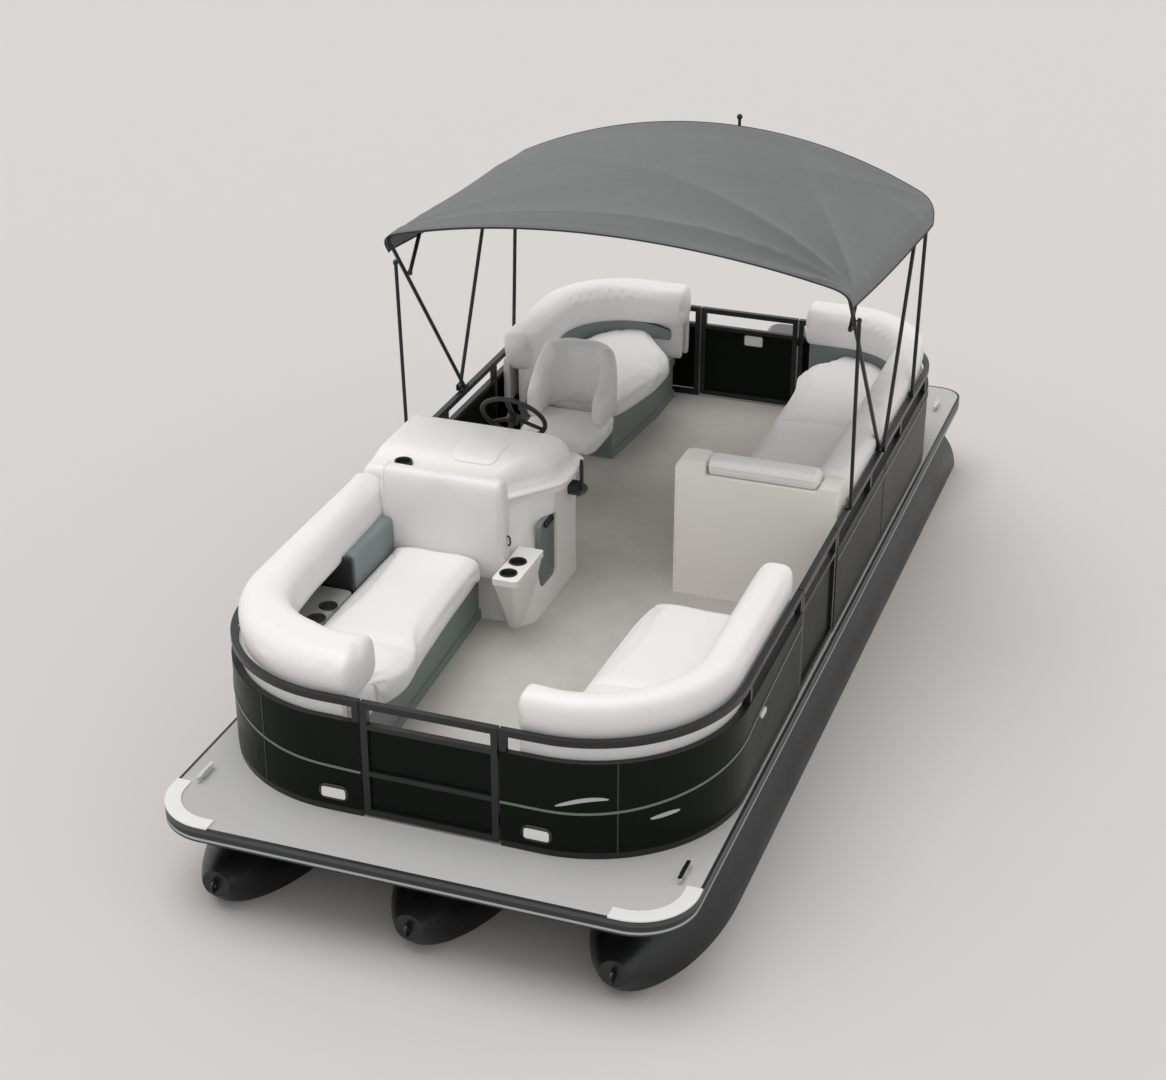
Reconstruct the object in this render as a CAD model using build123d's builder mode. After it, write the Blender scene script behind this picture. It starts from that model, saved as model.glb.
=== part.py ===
"""Three-tube pontoon boat with a fenced deck, four lounges, a helm and a bimini.

Millimetres. The origin lies on the waterline at the middle of the boat.
The bow points to -Y, port is +X, and Z is up.
"""

import os
from math import atan, cos, degrees, pi, radians, sin

from build123d import *

# Fits
SEAT_GAP = 0.3
PIN_FIT = 0.06
HINGE_GAP = 8.0

# Deck
BEAM = 2590.0
DECK_LENGTH = 6200.0
DECK_TOP = 500.0
DECK_THICK = 26.0
TRIM_THICK = 15.0
TRIM_HEIGHT = 76.0
BOW_DECK_RADIUS = 280.0
STERN_DECK_RADIUS = 150.0
WELL_HALF = 330.0
WELL_DEPTH = 400.0
WELL_RADIUS = 60.0

# Hull tubes
TUBE_RADIUS = 317.5
TUBE_INSET = 0.5
TUBE_SHORT = 120.0
CENTER_TUBE_SHORT = 810.0
NOSE_SETBACK = 940.0
TUBE_SPACING = BEAM / 2 - TUBE_RADIUS - TUBE_INSET
TUBE_AFT = DECK_LENGTH / 2 - TUBE_SHORT
CENTER_TUBE_AFT = DECK_LENGTH / 2 - CENTER_TUBE_SHORT
NOSE_START = -DECK_LENGTH / 2 + NOSE_SETBACK
NOSE_LENGTH = 880.0
NOSE_LIFT = 158.0
EYE_HOLE = 11.0
EYE_PLATE = 12.0
EYE_REACH = 48.0
EYE_TALL = 64.0
KEEL_HEIGHT = 22.0
KEEL_WIDTH = 30.0
STRAKE_REACH = 46.0
STRAKE_THICK = 8.0
STRAKE_DROP = 150.0
RISER_WIDTH = 110.0
RISER_WALL = 6.0

# Cross members
BEAM_COUNT = 13
BEAM_SETBACK = 200.0
BEAM_END = 720.0
BEAM_FIRST = -DECK_LENGTH / 2 + BEAM_SETBACK
BEAM_PITCH = (DECK_LENGTH - BEAM_SETBACK - BEAM_END) / (BEAM_COUNT - 1)
BEAM_HEIGHT = 76.0
BEAM_WIDTH = 64.0
BEAM_WALL = 5.0
BEAM_INSET = 45.0
BEAM_HALF_SPAN = BEAM / 2 - BEAM_INSET

# Motor pod
POD_WALL = 6.0
POD_GAP = 4.0
POD_FRONT = CENTER_TUBE_AFT + POD_GAP
POD_BOTTOM = -140.0
TRANSOM_THICK = 40.0
TRANSOM_TOP = 208.0
WELL_FLOOR = 120.0

# Fence
SIDE_DECK = 26.0
BOW_DECK = 344.0
STERN_DECK = 644.0
FENCE_HALF = BEAM / 2 - SIDE_DECK
FENCE_FRONT = -DECK_LENGTH / 2 + BOW_DECK
FENCE_REAR = DECK_LENGTH / 2 - STERN_DECK
FENCE_HEIGHT = 613.0
FENCE_TUBE = 32.0
BOW_RADIUS = 740.0
STERN_RADIUS = 600.0
SKIN_THICK = 3.0
SKIN_BOTTOM = 34.0
SKIN_TOP = 500.0
MID_RAIL = 25.0

# Gates: hinge pins stand inboard of the gate, on its +x or -x end
BOW_GATE_WIDTH = 662.0
SIDE_GATE_WIDTH = 692.0
SIDE_GATE_AFT = -368.0
STERN_GATE_WIDTH = 640.0
GATE_LIFT = 14.0
GATE_BAR = 26.0
GATE_BAR_HEIGHT = 240.0
HINGE_PIN = 4.0
HINGE_BARREL = 8.0
HINGE_SETBACK = 25.0
HINGE_LEAF = 4.0
HINGE_LENGTH = 26.0
HINGE_HEIGHTS = (110.0, 470.0)

# Lounges
LOUNGE_INSET = 44.0
BASE_HEIGHT = 300.0
SEAT_THICK = 150.0
SEAT_TOP = BASE_HEIGHT + SEAT_THICK
BACK_TOP = 780.0
BACK_THICK = 175.0
BACK_ROLL = 72.0
ROLL_BOTTOM = 530.0
PANEL_THICK = 82.0
SHELF_INSET = 310.0
SHELF_DROP = 24.0
WEDGE_DEPTH = 360.0
WEDGE_RADIUS = 240.0
HOLDER_RADIUS = 38.0
HOLDER_DEPTH = 60.0
PLINTH_LOW = 50.0
PLINTH_HIGH = 235.0
PLINTH_RECESS = 10.0
SEAT_EDGE = 30.0
SEAT_OVERHANG = 70.0
AISLE_EDGE = 470.0
GATE_EDGE = 400.0
BOW_SEAT_NOSE = 306.0
LOUNGE_WALK = 95.0

# Helm
CONSOLE_HEIGHT = 690.0
DASH_TOP = 850.0
WHEEL_X = -640.0
WHEEL_RADIUS = 180.0
WHEEL_RIM = 13.0
WHEEL_LEAN = 35.0
CHAIR_X = -640.0
CHAIR_Y = 790.0
CHAIR_SEAT = 450.0

# Bimini
PIVOT_Y = 670.0
PIVOT_LIFT = 20.0
BOW_TUBE = 11.0
BOW_STEP = 28.0
REAR_BOW_X = FENCE_HALF + 1
FRONT_BOW_X = REAR_BOW_X - BOW_STEP
INNER_X = FRONT_BOW_X - BOW_STEP
FRONT_LEAN = -38.2
FRONT_LEG = 1604.0
FRONT_RISE = 270.0
MAIN_LEAN = 25.0
MAIN_LEG = 1269.0
MAIN_RISE = 310.0
BOW_CORNER = 130.0
REAR_FOOT_Y = 1490.0
REAR_TOP_Y = 1570.0
REAR_LEG = MAIN_LEG * cos(radians(MAIN_LEAN))
REAR_RISE = 310.0
STRUT_HINGE = 1340.0
SECOND_HINGE = 1250.0
SECOND_LEAN = 39.5
SECOND_LEG = 325.0
SECOND_RISE = 275.0
STRUT_FOOT_Y = -100.0
EYE_RADIUS = 15.0
EYE_LENGTH = 18.0
CANOPY_THICK = 5.0
CANOPY_CLEAR = 0.9
CANOPY_HEM = 30.0

# Outboard motor
TILT_SETBACK = 30.0
STEER_SETBACK = 66.0
TILT_Y = DECK_LENGTH / 2 + TILT_SETBACK
TILT_Z = TRANSOM_TOP + 42.0
TILT_PIN = 15.0
STEER_Y = TILT_Y + STEER_SETBACK
STEER_PIN = 16.0
HOUSING_RADIUS = 36.0
HOUSING_TOP = 220.0
HOUSING_BOTTOM = -10.0
YOKE_RADIUS = 28.0
COWL_BOTTOM = 324.0
COWL_TOP = 645.0
COWL_AHEAD = 120.0
COWL_LENGTH = 470.0
COWL_FRONT = STEER_Y - COWL_AHEAD
COWL_REAR = COWL_FRONT + COWL_LENGTH
COWL_HALF = 165.0
COWL_WALL = 5.0
LEG_SETBACK = 134.0
PROP_SETBACK = 132.0
LEG_Y = STEER_Y + LEG_SETBACK
PLATE_Z = -292.0
PROP_Y = LEG_Y + PROP_SETBACK
PROP_RADIUS = 140.0
PROP_Z = PLATE_Z - PROP_RADIUS - 22.0
PROP_HUB = 42.0
PROP_BLADES = 3
PROP_PITCH = 300.0

# Cabinet, helm back rest and console
CABINET_EDGE = 335.0
CABINET_FRONT = -205.0
CABINET_AFT = -40.0
CABINET_HEIGHT = 800.0
CABINET_CORNER = 55.0
ARM_SINK = 80.0
ARM_SEAT = CABINET_HEIGHT - ARM_SINK
ARM_BLOCK = 165.0
ARM_SIDE = 159.0
ARM_START = CABINET_EDGE + ARM_BLOCK
ARM_END = FENCE_HALF - ARM_SIDE
ARM_THICK = 88.0
ARM_MARGIN = 12.0
CHAISE_THICK = 120.0
CHAISE_EDGE = -350.0
CHAISE_TOP = 865.0
CHAISE_ROLL = 50.0
CONSOLE_FRONT = -836.0
CONSOLE_AFT = -100.0
CONSOLE_SIDE = 54.0
CONSOLE_OUT = CONSOLE_SIDE - FENCE_HALF
CONSOLE_BELLY = -245.0
CONSOLE_FOOT = -345.0
CONSOLE_PROW = -900.0
CONSOLE_TOP = 640.0
CONSOLE_LIP = 30.0
DASH_EDGE = -205.0
DASH_CORNER = -500.0
DASH_LIP = 12.0
DASH_LEDGE = 790.0
DASH_BROW = 800.0
DASH_SHOULDER = 26.0
DASH_HAUNCH = 190.0
DASH_LEAN = 60.0
DASH_CROWN = 12.0
HOOD_FRONT = 120.0
HOOD_RISE = 95.0
LID_X = -640.0
LID_Y = -580.0
LID_WIDTH = 250.0
LID_LENGTH = 180.0
LID_LIFT = 8.0
DASH_CUP_X = -1000.0
DASH_CUP_Y = -745.0
RECESS_Y = -560.0
RECESS_WIDTH = 200.0
RECESS_BOTTOM = 140.0
RECESS_TOP = 520.0
RECESS_DEPTH = 45.0
SHELF_TOP = 420.0
SHELF_EDGE = -210.0
SHELF_FRONT = -1135.0
SHELF_LIP = 34.0
# Cup holders in the shelf at the foot of the console: x, y
CONSOLE_HOLDERS = [(-290.0, -915.0), (-290.0, -1050.0)]
WHEEL_SHAFT = 12.0
WHEEL_SOCKET = 40.0
WHEEL_REACH = 110.0
THROTTLE_OUT = DASH_EDGE + DASH_LIP + 8 - CONSOLE_BELLY
THROTTLE_Y = -250.0
THROTTLE_Z = 560.0
PEDESTAL_FLANGE = 120.0
PEDESTAL_RADIUS = 38.0
PEDESTAL_HEIGHT = 290.0
PEDESTAL_PIN = 20.0
CHAIR_WIDTH = 500.0
CHAIR_SWEEP = 345.0
CHAIR_BACK_FACE = 130.0
CHAIR_BACK_TOP = 860.0
CHAIR_WING = 90.0
CHAIR_WING_FRONT = -60.0
CHAIR_WING_TOP = 640.0

# Bimini fittings and canopy
MOUNT_X = FENCE_HALF - 12.5
MOUNT_WIDTH = 59.0
MOUNT_WALL = 3.0
STRUT_FOOT_LIFT = 12.0
CANOPY_HALF = REAR_BOW_X + BOW_TUBE + 9

# Motor details
CLAMP_X = 105.0
CLAMP_WALL = 12.0
SWIVEL_HALF = 90.0
SHAFT_RADIUS = 14.0
GEARCASE_RADIUS = 44.0
PROP_LENGTH = 90.0
SKEG_ROOT = 20.0
SKEG_DROP = 160.0
POWER_WIDTH = 220.0
POWER_LENGTH = 340.0
POWER_HEIGHT = 240.0
# Leg sections: height, length, width, middle
LEG_SECTIONS = [(324.0, 260.0, 180.0, LEG_Y), (200.0, 170.0, 96.0, LEG_Y + 6),
                (-284.0, 150.0, 66.0, LEG_Y + 10), (PROP_Z + 12, 150.0, 50.0, LEG_Y + 15)]
# Blade sections: radius, chord, thickness
PROP_SECTIONS = [(36.0, 70.0, 10.0), (95.0, 110.0, 6.0), (PROP_RADIUS, 60.0, 3.0)]

# Small fittings
CASTING_WIDTH = 75.0
CASTING_REACH = 330.0
CASTING_THICK = 7.0
LIGHT_WIDTH = 120.0
LIGHT_TALL = 52.0
LIGHT_HEIGHT = 105.0
LIGHT_DEPTH = 10.0
DOCKING_LIGHTS = [-480.0, 515.0]
SIDE_LIGHT_Y = -1780.0
SIDE_LIGHT_HEIGHT = 330.0
SIDE_LIGHT_LONG = 80.0
SIDE_LIGHT_TALL = 30.0
MAST_X = 110.0
MAST_SETBACK = 52.0
MAST_RISE = 75.0
MAST_RADIUS = 9.0
LAMP_RADIUS = 17.0
CLEAT_INSET = 110.0
CLEAT_AHEAD = 400.0
CLEAT_BEHIND = 350.0
CLEAT_X = BEAM / 2 - CLEAT_INSET
CLEAT_FORE = -DECK_LENGTH / 2 + CLEAT_AHEAD
CLEAT_AFT = DECK_LENGTH / 2 - CLEAT_BEHIND
CLEATS = [(-CLEAT_X, CLEAT_FORE), (CLEAT_X, CLEAT_FORE), (-CLEAT_X, CLEAT_AFT), (CLEAT_X, CLEAT_AFT)]

os.makedirs("parts", exist_ok=True)


def finish(part, name):
    """Label a finished piece and write it."""
    part.label = name
    export_step(part, f"parts/{name}.step")


def outline(corners):
    """Filled outline from corners (x, y, corner radius)."""
    with BuildSketch() as shape:
        with BuildLine():
            points = [(x, y) for x, y, _ in corners]
            FilletPolyline(points, radius=[r for *_, r in corners], close=True)
        make_face()
    return shape.sketch


def deck_plan(inset):
    """Deck outline with its motor well, set in from the boat's full size."""
    half = BEAM / 2 - inset
    end = DECK_LENGTH / 2 - inset
    bow = BOW_DECK_RADIUS - inset
    stern = STERN_DECK_RADIUS - inset
    well = WELL_HALF + inset
    floor = DECK_LENGTH / 2 - WELL_DEPTH - inset
    return outline([
        (-half, -end, bow), (half, -end, bow), (half, end, stern), (well, end, 20 + inset),
        (well, floor, WELL_RADIUS + inset), (-well, floor, WELL_RADIUS + inset),
        (-well, end, 20 + inset), (-half, end, stern),
    ])


def fence_plan(inset):
    """Fence outline, set in from the outer face of its rails."""
    half = FENCE_HALF - inset
    front = FENCE_FRONT + inset
    rear = FENCE_REAR - inset
    bow = BOW_RADIUS - inset
    stern = STERN_RADIUS - inset
    return outline([(-half, front, bow), (half, front, bow), (half, rear, stern), (-half, rear, stern)])


def fence_band(outer, inner, window):
    """Strip of the fence's plan between two insets, inside a window."""
    with BuildSketch() as band:
        add(fence_plan(outer))
        add(fence_plan(inner), mode=Mode.SUBTRACT)
        add(window, mode=Mode.INTERSECT)
    return band.sketch


def inside_fence(inset, window):
    """The fence's plan, set in, where it lies inside a window."""
    with BuildSketch() as area:
        add(fence_plan(inset))
        add(window, mode=Mode.INTERSECT)
    return area.sketch


# Fence runs: the part of the deck's plan that each run of the fence keeps
FAR = BEAM
BOW_EDGE = BOW_GATE_WIDTH / 2 + HINGE_GAP
STERN_EDGE = STERN_GATE_WIDTH / 2 + HINGE_GAP
SIDE_AFT_EDGE = SIDE_GATE_AFT + HINGE_GAP
SIDE_FORE_EDGE = SIDE_GATE_AFT - SIDE_GATE_WIDTH - HINGE_GAP
END = DECK_LENGTH
FENCE_RUNS = {
    "starboard": [(-FAR, -END, 0), (-BOW_EDGE, -END, 0), (-BOW_EDGE, 0, 0), (-STERN_EDGE, 0, 0),
                  (-STERN_EDGE, END, 0), (-FAR, END, 0)],
    "port_bow": [(BOW_EDGE, -END, 0), (FAR, -END, 0), (FAR, SIDE_FORE_EDGE, 0),
                 (BOW_EDGE, SIDE_FORE_EDGE, 0)],
    "port_stern": [(STERN_EDGE, SIDE_AFT_EDGE, 0), (FAR, SIDE_AFT_EDGE, 0), (FAR, END, 0),
                   (STERN_EDGE, END, 0)],
}
RAIL_X = FENCE_HALF - FENCE_TUBE / 2
RAIL_FRONT = FENCE_FRONT + FENCE_TUBE / 2
RAIL_REAR = FENCE_REAR - FENCE_TUBE / 2
HALF_POST = FENCE_TUBE / 2
BOW_POST = FENCE_FRONT + BOW_RADIUS + 36
STERN_POST = FENCE_REAR - STERN_RADIUS - 26
FENCE_POSTS = {
    "starboard": [(-BOW_EDGE - HALF_POST, RAIL_FRONT), (-RAIL_X, BOW_POST), (-RAIL_X, -1200),
                  (-RAIL_X, -400), (-RAIL_X, 400), (-RAIL_X, 1150), (-RAIL_X, STERN_POST),
                  (-STERN_EDGE - HALF_POST, RAIL_REAR)],
    "port_bow": [(BOW_EDGE + HALF_POST, RAIL_FRONT), (RAIL_X, BOW_POST),
                 (RAIL_X, SIDE_FORE_EDGE - HALF_POST)],
    "port_stern": [(RAIL_X, SIDE_AFT_EDGE + HALF_POST), (RAIL_X, 400), (RAIL_X, 1150), (RAIL_X, STERN_POST),
                   (STERN_EDGE + HALF_POST, RAIL_REAR)],
}

# Gates: name, middle of the gate, direction of its local x, width, end with the hinge
GATES = [
    ("bow_gate", (0.0, RAIL_FRONT), (1, 0), BOW_GATE_WIDTH, 1),
    ("side_gate", (RAIL_X, SIDE_GATE_AFT - SIDE_GATE_WIDTH / 2), (0, 1), SIDE_GATE_WIDTH, 1),
    ("stern_gate", (0.0, RAIL_REAR), (-1, 0), STERN_GATE_WIDTH, -1),
]
HINGED_ON = {"port_bow": ["bow_gate"], "port_stern": ["side_gate", "stern_gate"], "starboard": []}


def gate_plane(middle, along):
    """Plane of a gate: local x along it, local y up from the deck, local z outboard."""
    return Plane(
        origin=(middle[0], middle[1], DECK_TOP),
        x_dir=(along[0], along[1], 0),
        z_dir=(along[1], -along[0], 0),
    )


def hinge_knuckles(plane, width, end):
    """Pins with their two knuckles and leaves, on the post beside a gate."""
    axis = end * (width / 2 + HINGE_GAP / 2)
    leaf = HINGE_GAP / 2 + FENCE_TUBE
    upright = Rotation(-90, 0, 0)
    for height in HINGE_HEIGHTS:
        with Locations(plane.location * Location((axis, height, -HINGE_SETBACK)) * upright):
            Cylinder(HINGE_PIN, 2 * HINGE_LENGTH)
        for step in (-1, 1):
            reach = height + step * 0.75 * HINGE_LENGTH
            with Locations(plane.location * Location((axis, reach, -HINGE_SETBACK)) * upright):
                Cylinder(HINGE_BARREL, HINGE_LENGTH / 2 - 2 * SEAT_GAP)
            with Locations(plane.location * Location(
                    (axis + end * leaf / 2, reach, -HALF_POST - HINGE_LEAF / 2))):
                Box(leaf, HINGE_LENGTH / 2 - 2 * SEAT_GAP, HINGE_LEAF)


# Hull tubes: name, distance from the middle, aft end
TUBES = [
    ("pontoon_port", TUBE_SPACING, TUBE_AFT),
    ("pontoon_starboard", -TUBE_SPACING, TUBE_AFT),
    ("pontoon_center", 0.0, CENTER_TUBE_AFT),
]
# Nose sections: distance ahead of the nose's start, share of the tube's radius, lift of the middle
NOSE_SECTIONS = [(0.0, 1.0, 0.0), (330.0, 0.9, 22.0), (640.0, 0.62, 84.0), (NOSE_LENGTH, 0.22, NOSE_LIFT)]
BEAM_BOTTOM = DECK_TOP - DECK_THICK - BEAM_HEIGHT
for name, middle, aft in TUBES:
    with BuildPart() as tube:
        with BuildSketch(Plane.XZ.offset(-aft)):
            with Locations((middle, 0)):
                Circle(TUBE_RADIUS)
        extrude(amount=aft - NOSE_START)
        for ahead, share, lift in NOSE_SECTIONS:
            with BuildSketch(Plane.XZ.offset(ahead - NOSE_START)):
                with Locations((middle, lift)):
                    Circle(TUBE_RADIUS * share)
        loft()
        # Riser that carries the cross members
        with BuildSketch(Plane.XZ.offset(-aft)):
            with Locations((middle, BEAM_BOTTOM / 2)):
                Rectangle(RISER_WIDTH, BEAM_BOTTOM)
            with Locations((middle, BEAM_BOTTOM / 2 + TUBE_RADIUS / 2)):
                Rectangle(RISER_WIDTH - 2 * RISER_WALL, BEAM_BOTTOM - TUBE_RADIUS - 2 * RISER_WALL,
                          mode=Mode.SUBTRACT)
        extrude(amount=aft - BEAM_FIRST - BEAM_WIDTH)
        # Keel strip below, and a lifting strake on each side
        with BuildSketch(Plane.XZ.offset(-aft)):
            with Locations((middle, -TUBE_RADIUS)):
                Rectangle(KEEL_WIDTH, 2 * KEEL_HEIGHT)
            for side in (-1, 1):
                with Locations((middle + side * (TUBE_RADIUS - STRAKE_REACH), -STRAKE_DROP)):
                    Rectangle(2 * STRAKE_REACH, STRAKE_THICK)
        extrude(amount=aft - NOSE_START)
        # Tow eye at the tip of the nose
        tip = NOSE_START - NOSE_LENGTH
        with BuildSketch(Plane.YZ.offset(middle - EYE_PLATE / 2)):
            with Locations((tip, NOSE_LIFT)):
                Rectangle(2 * EYE_REACH - EYE_TALL, EYE_TALL)
            with Locations((tip - EYE_REACH + EYE_TALL / 2, NOSE_LIFT)):
                Circle(EYE_TALL / 2)
                Circle(EYE_HOLE, mode=Mode.SUBTRACT)
        extrude(amount=EYE_PLATE)
    finish(tube.part, name)

with BuildPart() as cross_members:
    for index in range(BEAM_COUNT):
        place = BEAM_FIRST + index * BEAM_PITCH
        with BuildSketch(Plane.XY.offset(BEAM_BOTTOM)):
            with Locations((0, place)):
                Rectangle(2 * BEAM_HALF_SPAN, BEAM_WIDTH)
                Rectangle(2 * BEAM_HALF_SPAN, BEAM_WIDTH - 2 * BEAM_WALL, mode=Mode.SUBTRACT)
        extrude(amount=BEAM_HEIGHT)
        with BuildSketch(Plane.XY.offset(BEAM_BOTTOM + BEAM_HEIGHT - BEAM_WALL)):
            with Locations((0, place)):
                Rectangle(2 * BEAM_HALF_SPAN, BEAM_WIDTH)
        extrude(amount=BEAM_WALL)
finish(cross_members.part, "cross_members")

with BuildPart() as motor_pod:
    with BuildSketch(Plane.YZ.offset(-WELL_HALF - POD_WALL)):
        add(outline([
            (POD_FRONT, BEAM_BOTTOM, 0), (POD_FRONT, POD_BOTTOM + 120, 40),
            (POD_FRONT + 200, POD_BOTTOM, 60), (DECK_LENGTH / 2, POD_BOTTOM, 0),
            (DECK_LENGTH / 2, TRANSOM_TOP, 0), (DECK_LENGTH / 2 - 60, BEAM_BOTTOM, 0),
        ]))
    extrude(amount=2 * (WELL_HALF + POD_WALL))
    # Open well ahead of the transom
    with BuildSketch(Plane.YZ.offset(-WELL_HALF)):
        add(outline([
            (DECK_LENGTH / 2 - WELL_DEPTH, BEAM_BOTTOM + 1, 0),
            (DECK_LENGTH / 2 - WELL_DEPTH, WELL_FLOOR, WELL_RADIUS),
            (DECK_LENGTH / 2 - TRANSOM_THICK, WELL_FLOOR, 20),
            (DECK_LENGTH / 2 - TRANSOM_THICK, TRANSOM_TOP, 0),
            (DECK_LENGTH / 2 + 1, TRANSOM_TOP, 0), (DECK_LENGTH / 2 + 1, BEAM_BOTTOM + 1, 0),
        ]))
    extrude(amount=2 * WELL_HALF, mode=Mode.SUBTRACT)
finish(motor_pod.part, "motor_pod")

with BuildPart() as deck:
    with BuildSketch(Plane.XY.offset(DECK_TOP - DECK_THICK)):
        add(deck_plan(TRIM_THICK))
    extrude(amount=DECK_THICK)
finish(deck.part, "deck")

with BuildPart() as deck_trim:
    with BuildSketch(Plane.XY.offset(DECK_TOP - TRIM_HEIGHT)):
        add(deck_plan(0))
        add(deck_plan(TRIM_THICK), mode=Mode.SUBTRACT)
    extrude(amount=TRIM_HEIGHT)
finish(deck_trim.part, "deck_trim")

for run, corners in FENCE_RUNS.items():
    with BuildPart() as frame:
        # Bottom rail, mid rail and top rail: height above the deck, depth
        for low, depth in ((0, FENCE_TUBE), (SKIN_TOP - MID_RAIL, MID_RAIL),
                           (FENCE_HEIGHT - FENCE_TUBE, FENCE_TUBE)):
            with BuildSketch(Plane.XY.offset(DECK_TOP + low)):
                add(fence_band(0, FENCE_TUBE, outline(corners)))
            extrude(amount=depth)
        with BuildSketch(Plane.XY.offset(DECK_TOP)):
            with Locations(*FENCE_POSTS[run]):
                Rectangle(FENCE_TUBE, FENCE_TUBE)
        extrude(amount=FENCE_HEIGHT)
        for name, middle, along, width, end in GATES:
            if name in HINGED_ON[run]:
                hinge_knuckles(gate_plane(middle, along), width, end)
    finish(frame.part, f"fence_frame_{run}")
    with BuildPart() as skin:
        with BuildSketch(Plane.XY.offset(DECK_TOP + SKIN_BOTTOM)):
            add(fence_band(-SKIN_THICK, 0, outline(corners)))
        extrude(amount=SKIN_TOP - SKIN_BOTTOM)
    finish(skin.part, f"fence_skin_{run}")

for name, middle, along, width, end in GATES:
    plane = gate_plane(middle, along)
    axis = end * (width / 2 + HINGE_GAP / 2)
    upright = Rotation(-90, 0, 0)
    with BuildPart() as frame:
        with BuildSketch(plane.offset(-HALF_POST)):
            with Locations((0, (FENCE_HEIGHT + GATE_LIFT) / 2)):
                Rectangle(width, FENCE_HEIGHT - GATE_LIFT)
            inner = width - 2 * FENCE_TUBE
            low = GATE_LIFT + FENCE_TUBE
            high = FENCE_HEIGHT - FENCE_TUBE
            mid = SKIN_TOP - MID_RAIL
            with Locations((0, (low + mid) / 2)):
                Rectangle(inner, mid - low, mode=Mode.SUBTRACT)
            with Locations((0, (SKIN_TOP + high) / 2)):
                Rectangle(inner, high - SKIN_TOP, mode=Mode.SUBTRACT)
        extrude(amount=FENCE_TUBE)
        if name == "bow_gate":
            # Bar across the outside of the skin
            with BuildSketch(plane.offset(SKIN_THICK / 2)):
                with Locations((0, GATE_BAR_HEIGHT)):
                    Rectangle(inner, GATE_BAR)
            extrude(amount=HALF_POST - SKIN_THICK / 2)
        for height in HINGE_HEIGHTS:
            with Locations(plane.location * Location((axis, height, -HINGE_SETBACK)) * upright):
                Cylinder(HINGE_BARREL, HINGE_LENGTH)
            with Locations(plane.location * Location(
                    (axis - end * 15, height, -HALF_POST - HINGE_LEAF / 2))):
                Box(30, HINGE_LENGTH, HINGE_LEAF)
            with Locations(plane.location * Location((axis, height, -HINGE_SETBACK)) * upright):
                Cylinder(HINGE_PIN + PIN_FIT, HINGE_LENGTH, mode=Mode.SUBTRACT)
    finish(frame.part, f"{name}_frame")
    with BuildPart() as skin:
        with BuildSketch(plane.offset(-SKIN_THICK / 2)):
            with Locations((0, (low + mid) / 2)):
                Rectangle(inner, mid - low)
        extrude(amount=SKIN_THICK)
    finish(skin.part, f"{name}_skin")

# Lounge windows in plan: x, y and corner radius
CHAISE_AFT = CONSOLE_FRONT - DASH_LIP - SEAT_GAP
CHAISE_FACE = CHAISE_AFT - CHAISE_THICK
BOW_PORT_AFT = SIDE_GATE_AFT - SIDE_GATE_WIDTH - 35
CABINET_SEAT = CABINET_AFT + SEAT_GAP


def starboard_bow(aft):
    """Window of the lounge ahead of the helm, as far aft as its cushions or its base go."""
    nose = FENCE_FRONT + BOW_SEAT_NOSE
    return outline([(-FAR, -END, 0), (-GATE_EDGE, -END, 0), (-GATE_EDGE, nose, 40), (-AISLE_EDGE, aft, 0),
                    (-FAR, aft, 0)])


def port_bow():
    """Window of the lounge on the port bow."""
    nose = FENCE_FRONT + BOW_SEAT_NOSE + 50
    return outline([(AISLE_EDGE + 30, BOW_PORT_AFT, 60), (AISLE_EDGE, nose, 60), (GATE_EDGE, -END, 0),
                    (FAR, -END, 0), (FAR, BOW_PORT_AFT, 0)])


def port_stern():
    """Window of the long lounge from the cabinet to the stern gate."""
    return outline([(AISLE_EDGE, CABINET_SEAT, 0), (FAR, CABINET_SEAT, 0), (FAR, END, 0),
                    (GATE_EDGE, END, 0), (GATE_EDGE, FENCE_REAR - 256, 60),
                    (AISLE_EDGE + 30, FENCE_REAR - 606, 60)])


def starboard_stern():
    """Window of the lounge behind the helm."""
    front = CHAIR_Y + CHAIR_SWEEP + LOUNGE_WALK
    return outline([(-FAR, front, 0), (-AISLE_EDGE, front, 60), (-GATE_EDGE, FENCE_REAR - 456, 60),
                    (30 - GATE_EDGE, END, 0), (-FAR, END, 0)])


# Lounge: name, window of its base, window of its cushions
LOUNGES = [
    ("bow_lounge_starboard", starboard_bow(CONSOLE_FRONT - SEAT_GAP + SEAT_OVERHANG),
     starboard_bow(CHAISE_FACE - SEAT_GAP)),
    ("bow_lounge_port", port_bow(), port_bow()),
    ("stern_lounge_port", port_stern(), port_stern()),
    ("stern_lounge_starboard", starboard_stern(), starboard_stern()),
]
# Cup holders sunk into the shelf beside the bow seat: x, y
SHELF_HOLDER_X = SHELF_INSET - FENCE_HALF - HOLDER_RADIUS - 8
SHELF_HOLDERS = [(SHELF_HOLDER_X, -1690.0), (SHELF_HOLDER_X, -1825.0)]
BACK_RAMP = FENCE_HALF - LOUNGE_INSET - BACK_THICK
WEDGE_EDGE = FENCE_FRONT + LOUNGE_INSET + WEDGE_DEPTH
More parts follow.
